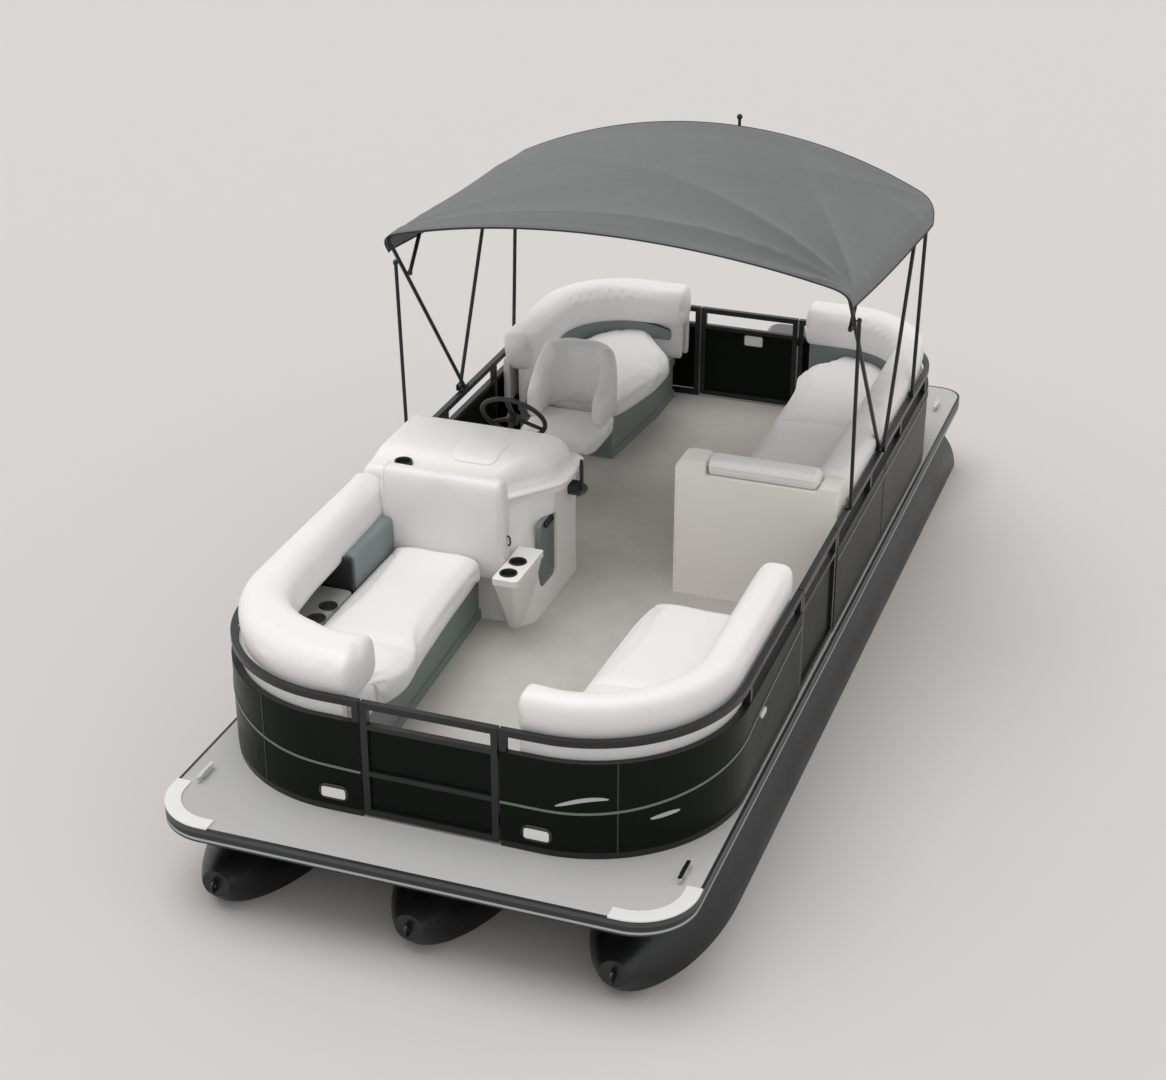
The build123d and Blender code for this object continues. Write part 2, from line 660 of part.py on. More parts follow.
# Plan that the wide forward roll leaves free for the seat
BOW_NOOK = [(-BACK_RAMP, END, 0), (-BACK_RAMP, WEDGE_EDGE, WEDGE_RADIUS), (0, WEDGE_EDGE, 0), (0, END, 0)]
for name, base_window, window in LOUNGES:
    wide = name == "bow_lounge_starboard"
    shelf = SHELF_INSET if wide else LOUNGE_INSET + BACK_THICK
    back_window = starboard_bow(CHAISE_AFT) if wide else window
    with BuildPart() as base:
        for low, high, recess in ((0, PLINTH_LOW, 0), (PLINTH_LOW, PLINTH_HIGH, PLINTH_RECESS),
                                  (PLINTH_HIGH, BASE_HEIGHT, 0)):
            with BuildSketch(Plane.XY.offset(DECK_TOP + low)):
                add(inside_fence(LOUNGE_INSET, base_window))
                offset(amount=-SEAT_OVERHANG - recess, mode=Mode.REPLACE)
            extrude(amount=high - low)
    finish(base.part, f"{name}_base")
    with BuildPart() as seat:
        with BuildSketch(Plane.XY.offset(DECK_TOP + BASE_HEIGHT)):
            add(inside_fence(shelf + SEAT_GAP, window))
        extrude(amount=SEAT_THICK)
        fillet(seat.faces().sort_by(Axis.Z)[-1].edges(), SEAT_EDGE)
    finish(seat.part, f"{name}_seat")
    with BuildPart() as back:
        # Shelf behind the seat, recessed panel, and the roll above them
        with BuildSketch(Plane.XY.offset(DECK_TOP + ROLL_BOTTOM)):
            if wide:
                add(inside_fence(LOUNGE_INSET, back_window))
                add(outline(BOW_NOOK), mode=Mode.SUBTRACT)
            else:
                add(fence_band(LOUNGE_INSET, LOUNGE_INSET + BACK_THICK, window))
        extrude(amount=BACK_TOP - ROLL_BOTTOM)
        fillet(back.faces().sort_by(Axis.Z)[-1].edges(), BACK_ROLL)
        with BuildSketch(Plane.XY.offset(DECK_TOP + BASE_HEIGHT)):
            add(fence_band(LOUNGE_INSET, LOUNGE_INSET + PANEL_THICK, window))
        extrude(amount=ROLL_BOTTOM - BASE_HEIGHT)
        with BuildSketch(Plane.XY.offset(DECK_TOP + BASE_HEIGHT)):
            add(fence_band(LOUNGE_INSET, shelf, window))
        extrude(amount=SEAT_THICK - SHELF_DROP)
        if wide:
            with Locations(*[(x, y, DECK_TOP + SEAT_TOP - SHELF_DROP) for x, y in SHELF_HOLDERS]):
                Cylinder(HOLDER_RADIUS, 2 * HOLDER_DEPTH, mode=Mode.SUBTRACT)
    finish(back.part, f"{name}_back")

# Cabinet that closes the port lounge's front, with a padded arm let into its top
with BuildPart() as cabinet:
    with BuildSketch(Plane.XZ.offset(-CABINET_AFT)):
        add(outline([
            (CABINET_EDGE, DECK_TOP, 0), (CABINET_EDGE, DECK_TOP + CABINET_HEIGHT, CABINET_CORNER),
            (ARM_START - SEAT_GAP, DECK_TOP + CABINET_HEIGHT, CABINET_CORNER / 2),
            (ARM_START - SEAT_GAP, DECK_TOP + ARM_SEAT, 0),
            (ARM_END + SEAT_GAP, DECK_TOP + ARM_SEAT, 0),
            (ARM_END + SEAT_GAP, DECK_TOP + CABINET_HEIGHT - CABINET_CORNER, CABINET_CORNER / 4),
            (FENCE_HALF - LOUNGE_INSET, DECK_TOP + CABINET_HEIGHT - CABINET_CORNER, 0),
            (FENCE_HALF - LOUNGE_INSET, DECK_TOP, 0)]))
    extrude(amount=CABINET_AFT - CABINET_FRONT)
finish(cabinet.part, "cabinet")

with BuildPart() as cabinet_arm:
    with BuildSketch(Plane.XY.offset(DECK_TOP + ARM_SEAT + SEAT_GAP)):
        with Locations(((ARM_START + ARM_END) / 2, (CABINET_FRONT + CABINET_AFT) / 2)):
            RectangleRounded(ARM_END - ARM_START, CABINET_AFT - CABINET_FRONT - 2 * ARM_MARGIN, ARM_MARGIN)
    extrude(amount=ARM_THICK)
    fillet(cabinet_arm.faces().sort_by(Axis.Z)[-1].edges(), SEAT_EDGE)
finish(cabinet_arm.part, "cabinet_arm")

# Back rest that stands against the front of the console
with BuildPart() as helm_front_back:
    with BuildSketch(Plane.XY.offset(DECK_TOP + BASE_HEIGHT)):
        add(outline([
            (SEAT_GAP - BACK_RAMP, CHAISE_FACE, 30), (CHAISE_EDGE, CHAISE_FACE, 30),
            (CHAISE_EDGE, CHAISE_AFT, 30), (SEAT_GAP - BACK_RAMP, CHAISE_AFT, 30)]))
    extrude(amount=CHAISE_TOP - BASE_HEIGHT)
    fillet(helm_front_back.faces().sort_by(Axis.Z)[-1].edges(), CHAISE_ROLL)
finish(helm_front_back.part, "helm_front_back")


def dash_plan(grow):
    """Dash in plan, with its corner cut back beside the aisle, grown outward by a margin."""
    with BuildSketch() as plan:
        add(outline([
            (CONSOLE_OUT, CONSOLE_FRONT, 20), (DASH_CORNER, CONSOLE_FRONT, 60),
            (DASH_EDGE, CONSOLE_FRONT + CONSOLE_BELLY - DASH_CORNER + 120, 140),
            (DASH_EDGE, CONSOLE_AFT, 90), (CONSOLE_OUT, CONSOLE_AFT, 20)]))
        if grow:
            offset(amount=grow)
    return plan.sketch


def wheel_plane(reach):
    """Plane square to the steering shaft, at a distance from the dash face."""
    lean = radians(WHEEL_LEAN)
    out = Vector(0, cos(lean), sin(lean))
    foot = Vector(WHEEL_X, DASH_FACE_Y, DASH_FACE_Z)
    return Plane(origin=foot + out * reach, x_dir=(1, 0, 0), z_dir=out)


SLOPE = (DASH_TOP - CONSOLE_HEIGHT) * sin(radians(WHEEL_LEAN)) / cos(radians(WHEEL_LEAN))
DASH_FACE_Y = CONSOLE_AFT - SLOPE / 2
DASH_FACE_Z = DECK_TOP + (DASH_TOP + CONSOLE_HEIGHT) / 2
DASH_BASE = DECK_TOP + CONSOLE_HEIGHT
# Body sections: height, how far the front comes forward, inboard edge, start of the cut corner
BODY_SECTIONS = [(0.0, CONSOLE_PROW, CONSOLE_FOOT, CONSOLE_BELLY, 120.0),
                 (CONSOLE_TOP, CONSOLE_FRONT, DASH_CORNER, CONSOLE_BELLY, 330.0)]
with BuildPart() as console_body:
    for height, front, toe, edge, cut in BODY_SECTIONS:
        with BuildSketch(Plane.XY.offset(DECK_TOP + height)):
            add(outline([
                (CONSOLE_OUT, CONSOLE_FRONT, 20), (toe - 60, CONSOLE_FRONT, 0), (toe, front, 20),
                (edge, front + cut, 90), (edge, CONSOLE_AFT, 60), (CONSOLE_OUT, CONSOLE_AFT, 20)]))
    loft(ruled=True)
    # Step below the dash
    with BuildSketch(Plane.XY.offset(DECK_TOP + CONSOLE_TOP)):
        add(dash_plan(0))
    extrude(amount=CONSOLE_LIP)
    # Recess in the side toward the aisle
    with BuildSketch(Plane.YZ.offset(CONSOLE_BELLY - RECESS_DEPTH)):
        with Locations((RECESS_Y, DECK_TOP + (RECESS_BOTTOM + RECESS_TOP) / 2)):
            RectangleRounded(RECESS_WIDTH, RECESS_TOP - RECESS_BOTTOM, 30)
    extrude(amount=2 * RECESS_DEPTH, mode=Mode.SUBTRACT)
    # Shelf beside the bow seat, on a prow that narrows to the deck
    shelf_side = CHAISE_EDGE + SEAT_GAP
    for height, front, edge in ((0, CONSOLE_PROW, CONSOLE_BELLY - 60),
                                (SHELF_TOP - SHELF_LIP, SHELF_FRONT + 10, SHELF_EDGE - 10)):
        with BuildSketch(Plane.XY.offset(DECK_TOP + height)):
            add(outline([(shelf_side, front, 10), (edge, front, 30), (edge, CONSOLE_FRONT + 100, 10),
                         (shelf_side, CONSOLE_FRONT + 100, 10)]))
    loft(ruled=True)
    with BuildSketch(Plane.XY.offset(DECK_TOP + SHELF_TOP - SHELF_LIP)):
        add(outline([(shelf_side, SHELF_FRONT, 10), (SHELF_EDGE, SHELF_FRONT, 30),
                     (SHELF_EDGE, CONSOLE_FRONT + 90, 10), (shelf_side, CONSOLE_FRONT + 90, 10)]))
    extrude(amount=SHELF_LIP)
    with Locations(*[(x, y, DECK_TOP + SHELF_TOP) for x, y in CONSOLE_HOLDERS]):
        Cylinder(HOLDER_RADIUS, 2 * HOLDER_DEPTH, mode=Mode.SUBTRACT)
finish(console_body.part, "console_body")

with BuildPart() as console_dash:
    # Dome with a low ledge ahead of the hood, and sides that lean in
    with BuildSketch(Plane.XY.offset(DECK_TOP + CONSOLE_TOP + CONSOLE_LIP)):
        add(dash_plan(0))
    extrude(amount=DASH_TOP - CONSOLE_TOP - CONSOLE_LIP)
    with BuildSketch(Plane.YZ.offset(-FAR)):
        add(outline([
            (CONSOLE_FRONT - 1, DECK_TOP + CONSOLE_TOP, 0), (CONSOLE_FRONT - 1, DECK_TOP + DASH_LEDGE, 30),
            (CONSOLE_FRONT + HOOD_FRONT, DECK_TOP + DASH_BROW, 60),
            (CONSOLE_FRONT + HOOD_FRONT + HOOD_RISE, DECK_TOP + DASH_TOP, 60),
            (CONSOLE_AFT - SLOPE, DECK_TOP + DASH_TOP, 20), (CONSOLE_AFT, DASH_BASE, 0),
            (CONSOLE_AFT, DECK_TOP + CONSOLE_TOP, 0)]))
    extrude(amount=FAR, mode=Mode.INTERSECT)
    with BuildSketch(Plane.XZ.offset(-CONSOLE_AFT)):
        add(outline([
            (CONSOLE_OUT, DECK_TOP + CONSOLE_TOP, 0), (CONSOLE_OUT, DECK_TOP + DASH_LEDGE, 10),
            (CONSOLE_OUT + DASH_LEAN, DECK_TOP + DASH_TOP + DASH_CROWN, 30),
            (DASH_EDGE - DASH_HAUNCH, DECK_TOP + DASH_TOP + DASH_CROWN, 120),
            (DASH_EDGE - DASH_SHOULDER, DASH_BASE, 0),
            (DASH_EDGE - DASH_SHOULDER, DECK_TOP + CONSOLE_TOP, 0)]))
    extrude(amount=CONSOLE_AFT - CONSOLE_FRONT, mode=Mode.INTERSECT)
    # Lip round the foot of the dome
    with BuildSketch(Plane.XY.offset(DECK_TOP + CONSOLE_TOP + CONSOLE_LIP)):
        add(dash_plan(DASH_LIP))
    extrude(amount=DASH_BASE - DECK_TOP - CONSOLE_TOP - CONSOLE_LIP)
    # Lid of the glove box, and a cup holder
    with BuildSketch(Plane.XY.offset(DECK_TOP + DASH_TOP)):
        with Locations((LID_X, LID_Y + LID_LENGTH)):
            RectangleRounded(LID_WIDTH, LID_LENGTH, 30)
    extrude(amount=LID_LIFT)
    with Locations((DASH_CUP_X, DASH_CUP_Y, DECK_TOP + DASH_TOP)):
        Cylinder(HOLDER_RADIUS, 2 * (DASH_TOP - DASH_BROW + HOLDER_DEPTH), mode=Mode.SUBTRACT)
    with BuildSketch(wheel_plane(0)):
        Circle(WHEEL_SHAFT + PIN_FIT)
    extrude(amount=-WHEEL_SOCKET, mode=Mode.SUBTRACT)
finish(console_dash.part, "console_dash")

with BuildPart() as steering_wheel:
    with Locations(wheel_plane(WHEEL_REACH)):
        Torus(WHEEL_RADIUS, WHEEL_RIM)
        with PolarLocations(0, 3, start_angle=-90):
            with Locations((WHEEL_RADIUS / 2, 0, 0)):
                Box(WHEEL_RADIUS, 30, 8)
    with BuildSketch(wheel_plane(WHEEL_REACH + 12)):
        Circle(38)
    extrude(amount=-40)
    with BuildSketch(wheel_plane(WHEEL_REACH)):
        Circle(WHEEL_SHAFT)
    extrude(amount=-WHEEL_REACH - WHEEL_SOCKET + 5)
finish(steering_wheel.part, "steering_wheel")

with BuildPart() as throttle:
    with BuildSketch(Plane.YZ.offset(CONSOLE_BELLY + THROTTLE_OUT)):
        with Locations((THROTTLE_Y, DECK_TOP + THROTTLE_Z)):
            Circle(42)
    extrude(amount=SEAT_GAP - THROTTLE_OUT)
    with BuildSketch(Plane.YZ.offset(CONSOLE_BELLY + THROTTLE_OUT)):
        with Locations((THROTTLE_Y, DECK_TOP + THROTTLE_Z + 80)):
            SlotCenterToCenter(160, 24, rotation=90)
    extrude(amount=14)
finish(throttle.part, "throttle")

with BuildPart() as helm_pedestal:
    with BuildSketch(Plane.XY.offset(DECK_TOP)):
        with Locations((CHAIR_X, CHAIR_Y)):
            Circle(PEDESTAL_FLANGE)
    extrude(amount=14)
    with BuildSketch(Plane.XY.offset(DECK_TOP)):
        with Locations((CHAIR_X, CHAIR_Y)):
            Circle(PEDESTAL_RADIUS)
    extrude(amount=PEDESTAL_HEIGHT)
    with BuildSketch(Plane.XY.offset(DECK_TOP)):
        with Locations((CHAIR_X, CHAIR_Y)):
            Circle(PEDESTAL_PIN)
    extrude(amount=CHAIR_SEAT - 100)
finish(helm_pedestal.part, "helm_pedestal")

with BuildPart() as chair_mount:
    with BuildSketch(Plane.XY.offset(DECK_TOP + PEDESTAL_HEIGHT + SEAT_GAP)):
        with Locations((CHAIR_X, CHAIR_Y)):
            Circle(PEDESTAL_RADIUS + 8)
    extrude(amount=CHAIR_SEAT - 100 - PEDESTAL_HEIGHT - SEAT_GAP)
    with BuildSketch(Plane.XY.offset(DECK_TOP + CHAIR_SEAT - 112)):
        with Locations((CHAIR_X, CHAIR_Y)):
            RectangleRounded(360, 360, 40)
    extrude(amount=12)
    with Locations((CHAIR_X, CHAIR_Y, DECK_TOP)):
        Cylinder(PEDESTAL_PIN + PIN_FIT, 2 * CHAIR_SEAT, mode=Mode.SUBTRACT)
finish(chair_mount.part, "chair_mount")

with BuildPart() as chair_seat:
    with BuildSketch(Plane.XY.offset(DECK_TOP + CHAIR_SEAT - 100)):
        with Locations((CHAIR_X, CHAIR_Y - 20)):
            RectangleRounded(CHAIR_WIDTH, 460, 80)
    extrude(amount=110)
    fillet(chair_seat.faces().sort_by(Axis.Z)[-1].edges(), 35)
finish(chair_seat.part, "chair_seat")

# Back with wings that come forward beside the seat and fall away to the front
with BuildPart() as chair_back:
    chair_base = DECK_TOP + CHAIR_SEAT + 10 + SEAT_GAP
    with BuildSketch(Plane.XY.offset(chair_base)):
        with Locations((CHAIR_X, CHAIR_Y)):
            Circle(CHAIR_SWEEP)
            with Locations((0, CHAIR_WING_FRONT - CHAIR_SWEEP)):
                Rectangle(3 * CHAIR_SWEEP, 2 * CHAIR_SWEEP, mode=Mode.SUBTRACT)
            Rectangle(CHAIR_WIDTH, 3 * CHAIR_SWEEP, mode=Mode.INTERSECT)
            with Locations((0, CHAIR_BACK_FACE - CHAIR_SWEEP)):
                RectangleRounded(CHAIR_WIDTH - 2 * CHAIR_WING, 2 * CHAIR_SWEEP, 80, mode=Mode.SUBTRACT)
    extrude(amount=CHAIR_BACK_TOP - CHAIR_SEAT - 10)
    with BuildSketch(Plane.YZ.offset(CHAIR_X - CHAIR_WIDTH)):
        add(outline([
            (CHAIR_Y + CHAIR_WING_FRONT - 1, chair_base, 0),
            (CHAIR_Y + CHAIR_WING_FRONT - 1, DECK_TOP + CHAIR_WING_TOP, 40),
            (CHAIR_Y + CHAIR_BACK_FACE, DECK_TOP + CHAIR_WING_TOP + 60, 80),
            (CHAIR_Y + CHAIR_BACK_FACE + 60, DECK_TOP + CHAIR_BACK_TOP, 40),
            (CHAIR_Y + CHAIR_SWEEP + 1, DECK_TOP + CHAIR_BACK_TOP, 60),
            (CHAIR_Y + CHAIR_SWEEP + 1, chair_base, 0)]))
    extrude(amount=2 * CHAIR_WIDTH, mode=Mode.INTERSECT)
finish(chair_back.part, "chair_back")

# Bimini bows
RAIL_TOP = DECK_TOP + FENCE_HEIGHT
PIVOT_Z = RAIL_TOP + PIVOT_LIFT


def leaning_plane(y, z, lean):
    """Plane across the boat: local x to port, local y up the leg, which leans aft by an angle."""
    tilt = radians(lean)
    return Plane(origin=(0, y, z), x_dir=(1, 0, 0), z_dir=(0, -cos(tilt), sin(tilt)))


def along_leg(y, z, lean, distance):
    """Point (y, z) on a leg, at a distance up from its foot."""
    return y + distance * sin(radians(lean)), z + distance * cos(radians(lean))


def hoop(plane, half, start, leg, rise):
    """Tube of one bow: two legs joined by an arch that rises above their tops."""
    with BuildPart() as bow:
        with BuildLine(plane) as path:
            left = Line((-half, start), (-half, leg))
            crown = ThreePointArc((-half, leg), (0, leg + rise), (half, leg))
            Line((half, leg), (half, start))
            corners = path.vertices().filter_by(
                lambda v: abs(plane.to_local_coords(Vector(v)).Y - leg) < 1)
            fillet(corners, BOW_CORNER)
        foot = plane.location * Location((-half, start, 0)) * Rotation(-90, 0, 0)
        with BuildSketch(Plane(foot)):
            Circle(BOW_TUBE)
        sweep()
    return bow.part


def eye(x, y, z, radius, length):
    """Round boss across the boat."""
    with Locations(Location((x, y, z)) * Rotation(0, 90, 0)):
        Cylinder(radius, length)


def cross_hole(x, y, z, radius, length):
    """Hole across the boat."""
    with Locations(Location((x, y, z)) * Rotation(0, 90, 0)):
        Cylinder(radius, length, mode=Mode.SUBTRACT)


with BuildPart() as bimini_main_bow:
    add(hoop(leaning_plane(PIVOT_Y, PIVOT_Z, MAIN_LEAN), REAR_BOW_X, EYE_RADIUS - 3, MAIN_LEG, MAIN_RISE))
    for side in (-1, 1):
        eye(side * REAR_BOW_X, PIVOT_Y, PIVOT_Z, EYE_RADIUS, EYE_LENGTH)
        cross_hole(side * REAR_BOW_X, PIVOT_Y, PIVOT_Z, HINGE_PIN + PIN_FIT, 2 * EYE_LENGTH)
finish(bimini_main_bow.part, "bimini_main_bow")

rear_lean = degrees(atan((REAR_TOP_Y - REAR_FOOT_Y) / REAR_LEG))
with BuildPart() as bimini_rear_bow:
    add(hoop(leaning_plane(REAR_FOOT_Y, RAIL_TOP, rear_lean), RAIL_X, 20, REAR_LEG, REAR_RISE))
    with BuildSketch(Plane.XY.offset(RAIL_TOP)):
        with Locations((-RAIL_X, REAR_FOOT_Y), (RAIL_X, REAR_FOOT_Y)):
            Rectangle(28, 50)
    extrude(amount=24)
    # All-round light on a bracket behind the crown
    crown_y, crown_z = along_leg(REAR_FOOT_Y, RAIL_TOP, rear_lean, REAR_LEG + REAR_RISE)
    with Locations((MAST_X, crown_y + MAST_SETBACK / 2, crown_z - MAST_RADIUS)):
        Box(2 * MAST_RADIUS, MAST_SETBACK, MAST_RADIUS)
    with Locations((MAST_X, crown_y + MAST_SETBACK, crown_z - 2 * MAST_RADIUS)):
        Cylinder(MAST_RADIUS, MAST_RISE, align=(Align.CENTER, Align.CENTER, Align.MIN))
    with Locations((MAST_X, crown_y + MAST_SETBACK, crown_z - 2 * MAST_RADIUS + MAST_RISE)):
        Sphere(LAMP_RADIUS)
finish(bimini_rear_bow.part, "bimini_rear_bow")

with BuildPart() as bimini_mounts:
    with BuildSketch(Plane.XY.offset(RAIL_TOP)):
        for side in (-1, 1):
            with Locations((side * MOUNT_X, PIVOT_Y)):
                Rectangle(MOUNT_WIDTH, 50)
                Rectangle(MOUNT_WIDTH - 2 * MOUNT_WALL, 60, mode=Mode.SUBTRACT)
    extrude(amount=PIVOT_LIFT + EYE_RADIUS)
    with BuildSketch(Plane.XY.offset(RAIL_TOP)):
        for side in (-1, 1):
            with Locations((side * MOUNT_X, PIVOT_Y)):
                Rectangle(MOUNT_WIDTH, 50)
    extrude(amount=3)
    for side in (-1, 1):
        eye(side * MOUNT_X, PIVOT_Y, PIVOT_Z, HINGE_PIN, MOUNT_WIDTH)
    # Forks where the front struts are pinned
    with BuildSketch(Plane.XY.offset(RAIL_TOP)):
        for side in (-1, 1):
            with Locations((side * (RAIL_X + REAR_BOW_X) / 2, STRUT_FOOT_Y)):
                Rectangle(REAR_BOW_X - RAIL_X + 24, 40)
    extrude(amount=8)
finish(bimini_mounts.part, "bimini_mounts")

STRUT_Y, STRUT_Z = along_leg(PIVOT_Y, PIVOT_Z, FRONT_LEAN, STRUT_HINGE)
SECOND_Y, SECOND_Z = along_leg(PIVOT_Y, PIVOT_Z, FRONT_LEAN, SECOND_HINGE)
STUD_LENGTH = FRONT_BOW_X - INNER_X + EYE_LENGTH / 2 + 4
# Studs on the front bow: side it points to, inboard or outboard, and its place
STUDS = [(1, STRUT_Y, STRUT_Z), (-1, SECOND_Y, SECOND_Z)]
with BuildPart() as bimini_front_bow:
    front_plane = leaning_plane(PIVOT_Y, PIVOT_Z, FRONT_LEAN)
    add(hoop(front_plane, FRONT_BOW_X, EYE_RADIUS - 3, FRONT_LEG, FRONT_RISE))
    for side in (-1, 1):
        eye(side * FRONT_BOW_X, PIVOT_Y, PIVOT_Z, EYE_RADIUS, EYE_LENGTH)
        cross_hole(side * FRONT_BOW_X, PIVOT_Y, PIVOT_Z, HINGE_PIN + PIN_FIT, 2 * EYE_LENGTH)
        for outward, y, z in STUDS:
            eye(side * (FRONT_BOW_X + outward * STUD_LENGTH / 2), y, z, HINGE_PIN, STUD_LENGTH)
finish(bimini_front_bow.part, "bimini_front_bow")

with BuildPart() as bimini_second_bow:
    second_plane = leaning_plane(SECOND_Y, SECOND_Z, SECOND_LEAN)
    add(hoop(second_plane, INNER_X, EYE_RADIUS - 3, SECOND_LEG, SECOND_RISE))
    for side in (-1, 1):
        eye(side * INNER_X, SECOND_Y, SECOND_Z, EYE_RADIUS, EYE_LENGTH)
        cross_hole(side * INNER_X, SECOND_Y, SECOND_Z, HINGE_PIN + PIN_FIT, 2 * EYE_LENGTH)
finish(bimini_second_bow.part, "bimini_second_bow")

strut_lean = degrees(atan((STRUT_FOOT_Y - STRUT_Y) / (STRUT_Z - RAIL_TOP - STRUT_FOOT_LIFT)))
strut_length = (STRUT_Z - RAIL_TOP - STRUT_FOOT_LIFT) / cos(radians(strut_lean))
with BuildPart() as bimini_struts:
    for side in (-1, 1):
        top = Location((side * REAR_BOW_X, STRUT_Y, STRUT_Z)) * Rotation(180 + strut_lean, 0, 0)
        with Locations(top):
            Cylinder(BOW_TUBE - 1, strut_length, align=(Align.CENTER, Align.CENTER, Align.MIN))
        eye(side * REAR_BOW_X, STRUT_Y, STRUT_Z, EYE_RADIUS, EYE_LENGTH)
        cross_hole(side * REAR_BOW_X, STRUT_Y, STRUT_Z, HINGE_PIN + PIN_FIT, 2 * EYE_LENGTH)
finish(bimini_struts.part, "bimini_struts")

# Canopy stretched over the bows. Section: place and lean of its bow, leg, rise, hem beyond the bow
CANOPY_SECTIONS = [
    (PIVOT_Y, PIVOT_Z, FRONT_LEAN, FRONT_LEG, FRONT_RISE, -CANOPY_HEM),
    (PIVOT_Y, PIVOT_Z, MAIN_LEAN, MAIN_LEG, MAIN_RISE, 0.0),
    (REAR_FOOT_Y, RAIL_TOP, rear_lean, REAR_LEG, REAR_RISE, CANOPY_HEM),
]
with BuildPart() as canopy:
    for y, z, lean, leg, rise, hem in CANOPY_SECTIONS:
        low = leg + (BOW_TUBE + CANOPY_CLEAR) / cos(radians(lean))
        high = low + CANOPY_THICK
        with BuildSketch(leaning_plane(y + hem, z, lean)):
            with BuildLine():
                inner = ThreePointArc((-CANOPY_HALF, low), (0, low + rise), (CANOPY_HALF, low))
                outer = ThreePointArc((-CANOPY_HALF, high), (0, high + rise), (CANOPY_HALF, high))
                Line(inner @ 0, outer @ 0)
                Line(inner @ 1, outer @ 1)
            make_face()
    loft(ruled=True)
finish(canopy.part, "canopy")

# Outboard motor
with BuildPart() as clamp_bracket:
    for side in (-1, 1):
        with BuildSketch(Plane.YZ.offset(side * CLAMP_X - CLAMP_WALL / 2)):
            add(outline([
                (DECK_LENGTH / 2 - TRANSOM_THICK - 14, TRANSOM_TOP - 70, 0),
                (DECK_LENGTH / 2 - TRANSOM_THICK - 14, TRANSOM_TOP + 12, 10),
                (TILT_Y - 20, TILT_Z + 20, 16), (TILT_Y + 24, TILT_Z + 20, 16),
                (TILT_Y + 24, TILT_Z - 60, 20), (DECK_LENGTH / 2 + 60, -40, 20),
                (DECK_LENGTH / 2, -40, 0), (DECK_LENGTH / 2, TRANSOM_TOP, 0),
                (DECK_LENGTH / 2 - TRANSOM_THICK, TRANSOM_TOP, 0),
                (DECK_LENGTH / 2 - TRANSOM_THICK, TRANSOM_TOP - 70, 0)]))
        extrude(amount=CLAMP_WALL)
    eye(0, TILT_Y, TILT_Z, TILT_PIN, 2 * CLAMP_X + CLAMP_WALL + 30)
finish(clamp_bracket.part, "clamp_bracket")

with BuildPart() as swivel_bracket:
    eye(0, TILT_Y, TILT_Z, TILT_PIN + 12, 2 * SWIVEL_HALF)
    with BuildSketch(Plane.XY.offset(HOUSING_BOTTOM)):
        with Locations((0, STEER_Y)):
            Circle(HOUSING_RADIUS)
    extrude(amount=HOUSING_TOP - HOUSING_BOTTOM)
    with BuildSketch(Plane.YZ.offset(-SWIVEL_HALF + 20)):
        add(outline([
            (TILT_Y - 16, TILT_Z - 12, 0), (TILT_Y + 20, TILT_Z - 12, 0),
            (TILT_Y + 28, HOUSING_TOP - 12, 0), (STEER_Y, HOUSING_TOP - 12, 0),
            (STEER_Y, HOUSING_BOTTOM + 60, 0), (TILT_Y + 30, TILT_Z - 150, 0),
            (TILT_Y - 16, TILT_Z - 40, 0)]))
    extrude(amount=2 * SWIVEL_HALF - 40)
    cross_hole(0, TILT_Y, TILT_Z, TILT_PIN + PIN_FIT, 2 * SWIVEL_HALF)
    with Locations((0, STEER_Y, HOUSING_BOTTOM)):
        Cylinder(STEER_PIN + PIN_FIT, HOUSING_TOP - HOUSING_BOTTOM, mode=Mode.SUBTRACT,
                 align=(Align.CENTER, Align.CENTER, Align.MIN))
finish(swivel_bracket.part, "swivel_bracket")

LEG_TOP = COWL_BOTTOM + 10


def cowl_plan():
    """Cowl's outline in plan."""
    return outline([
        (-COWL_HALF + 30, COWL_FRONT, 90), (COWL_HALF - 30, COWL_FRONT, 90),
        (COWL_HALF, COWL_REAR, 110), (-COWL_HALF, COWL_REAR, 110)])


def leg_section(length, width, middle):
    """Streamlined section of the motor's leg."""
    with BuildSketch() as section:
        with Locations((0, middle)):
            Ellipse(width / 2, length / 2)
    return section.sketch


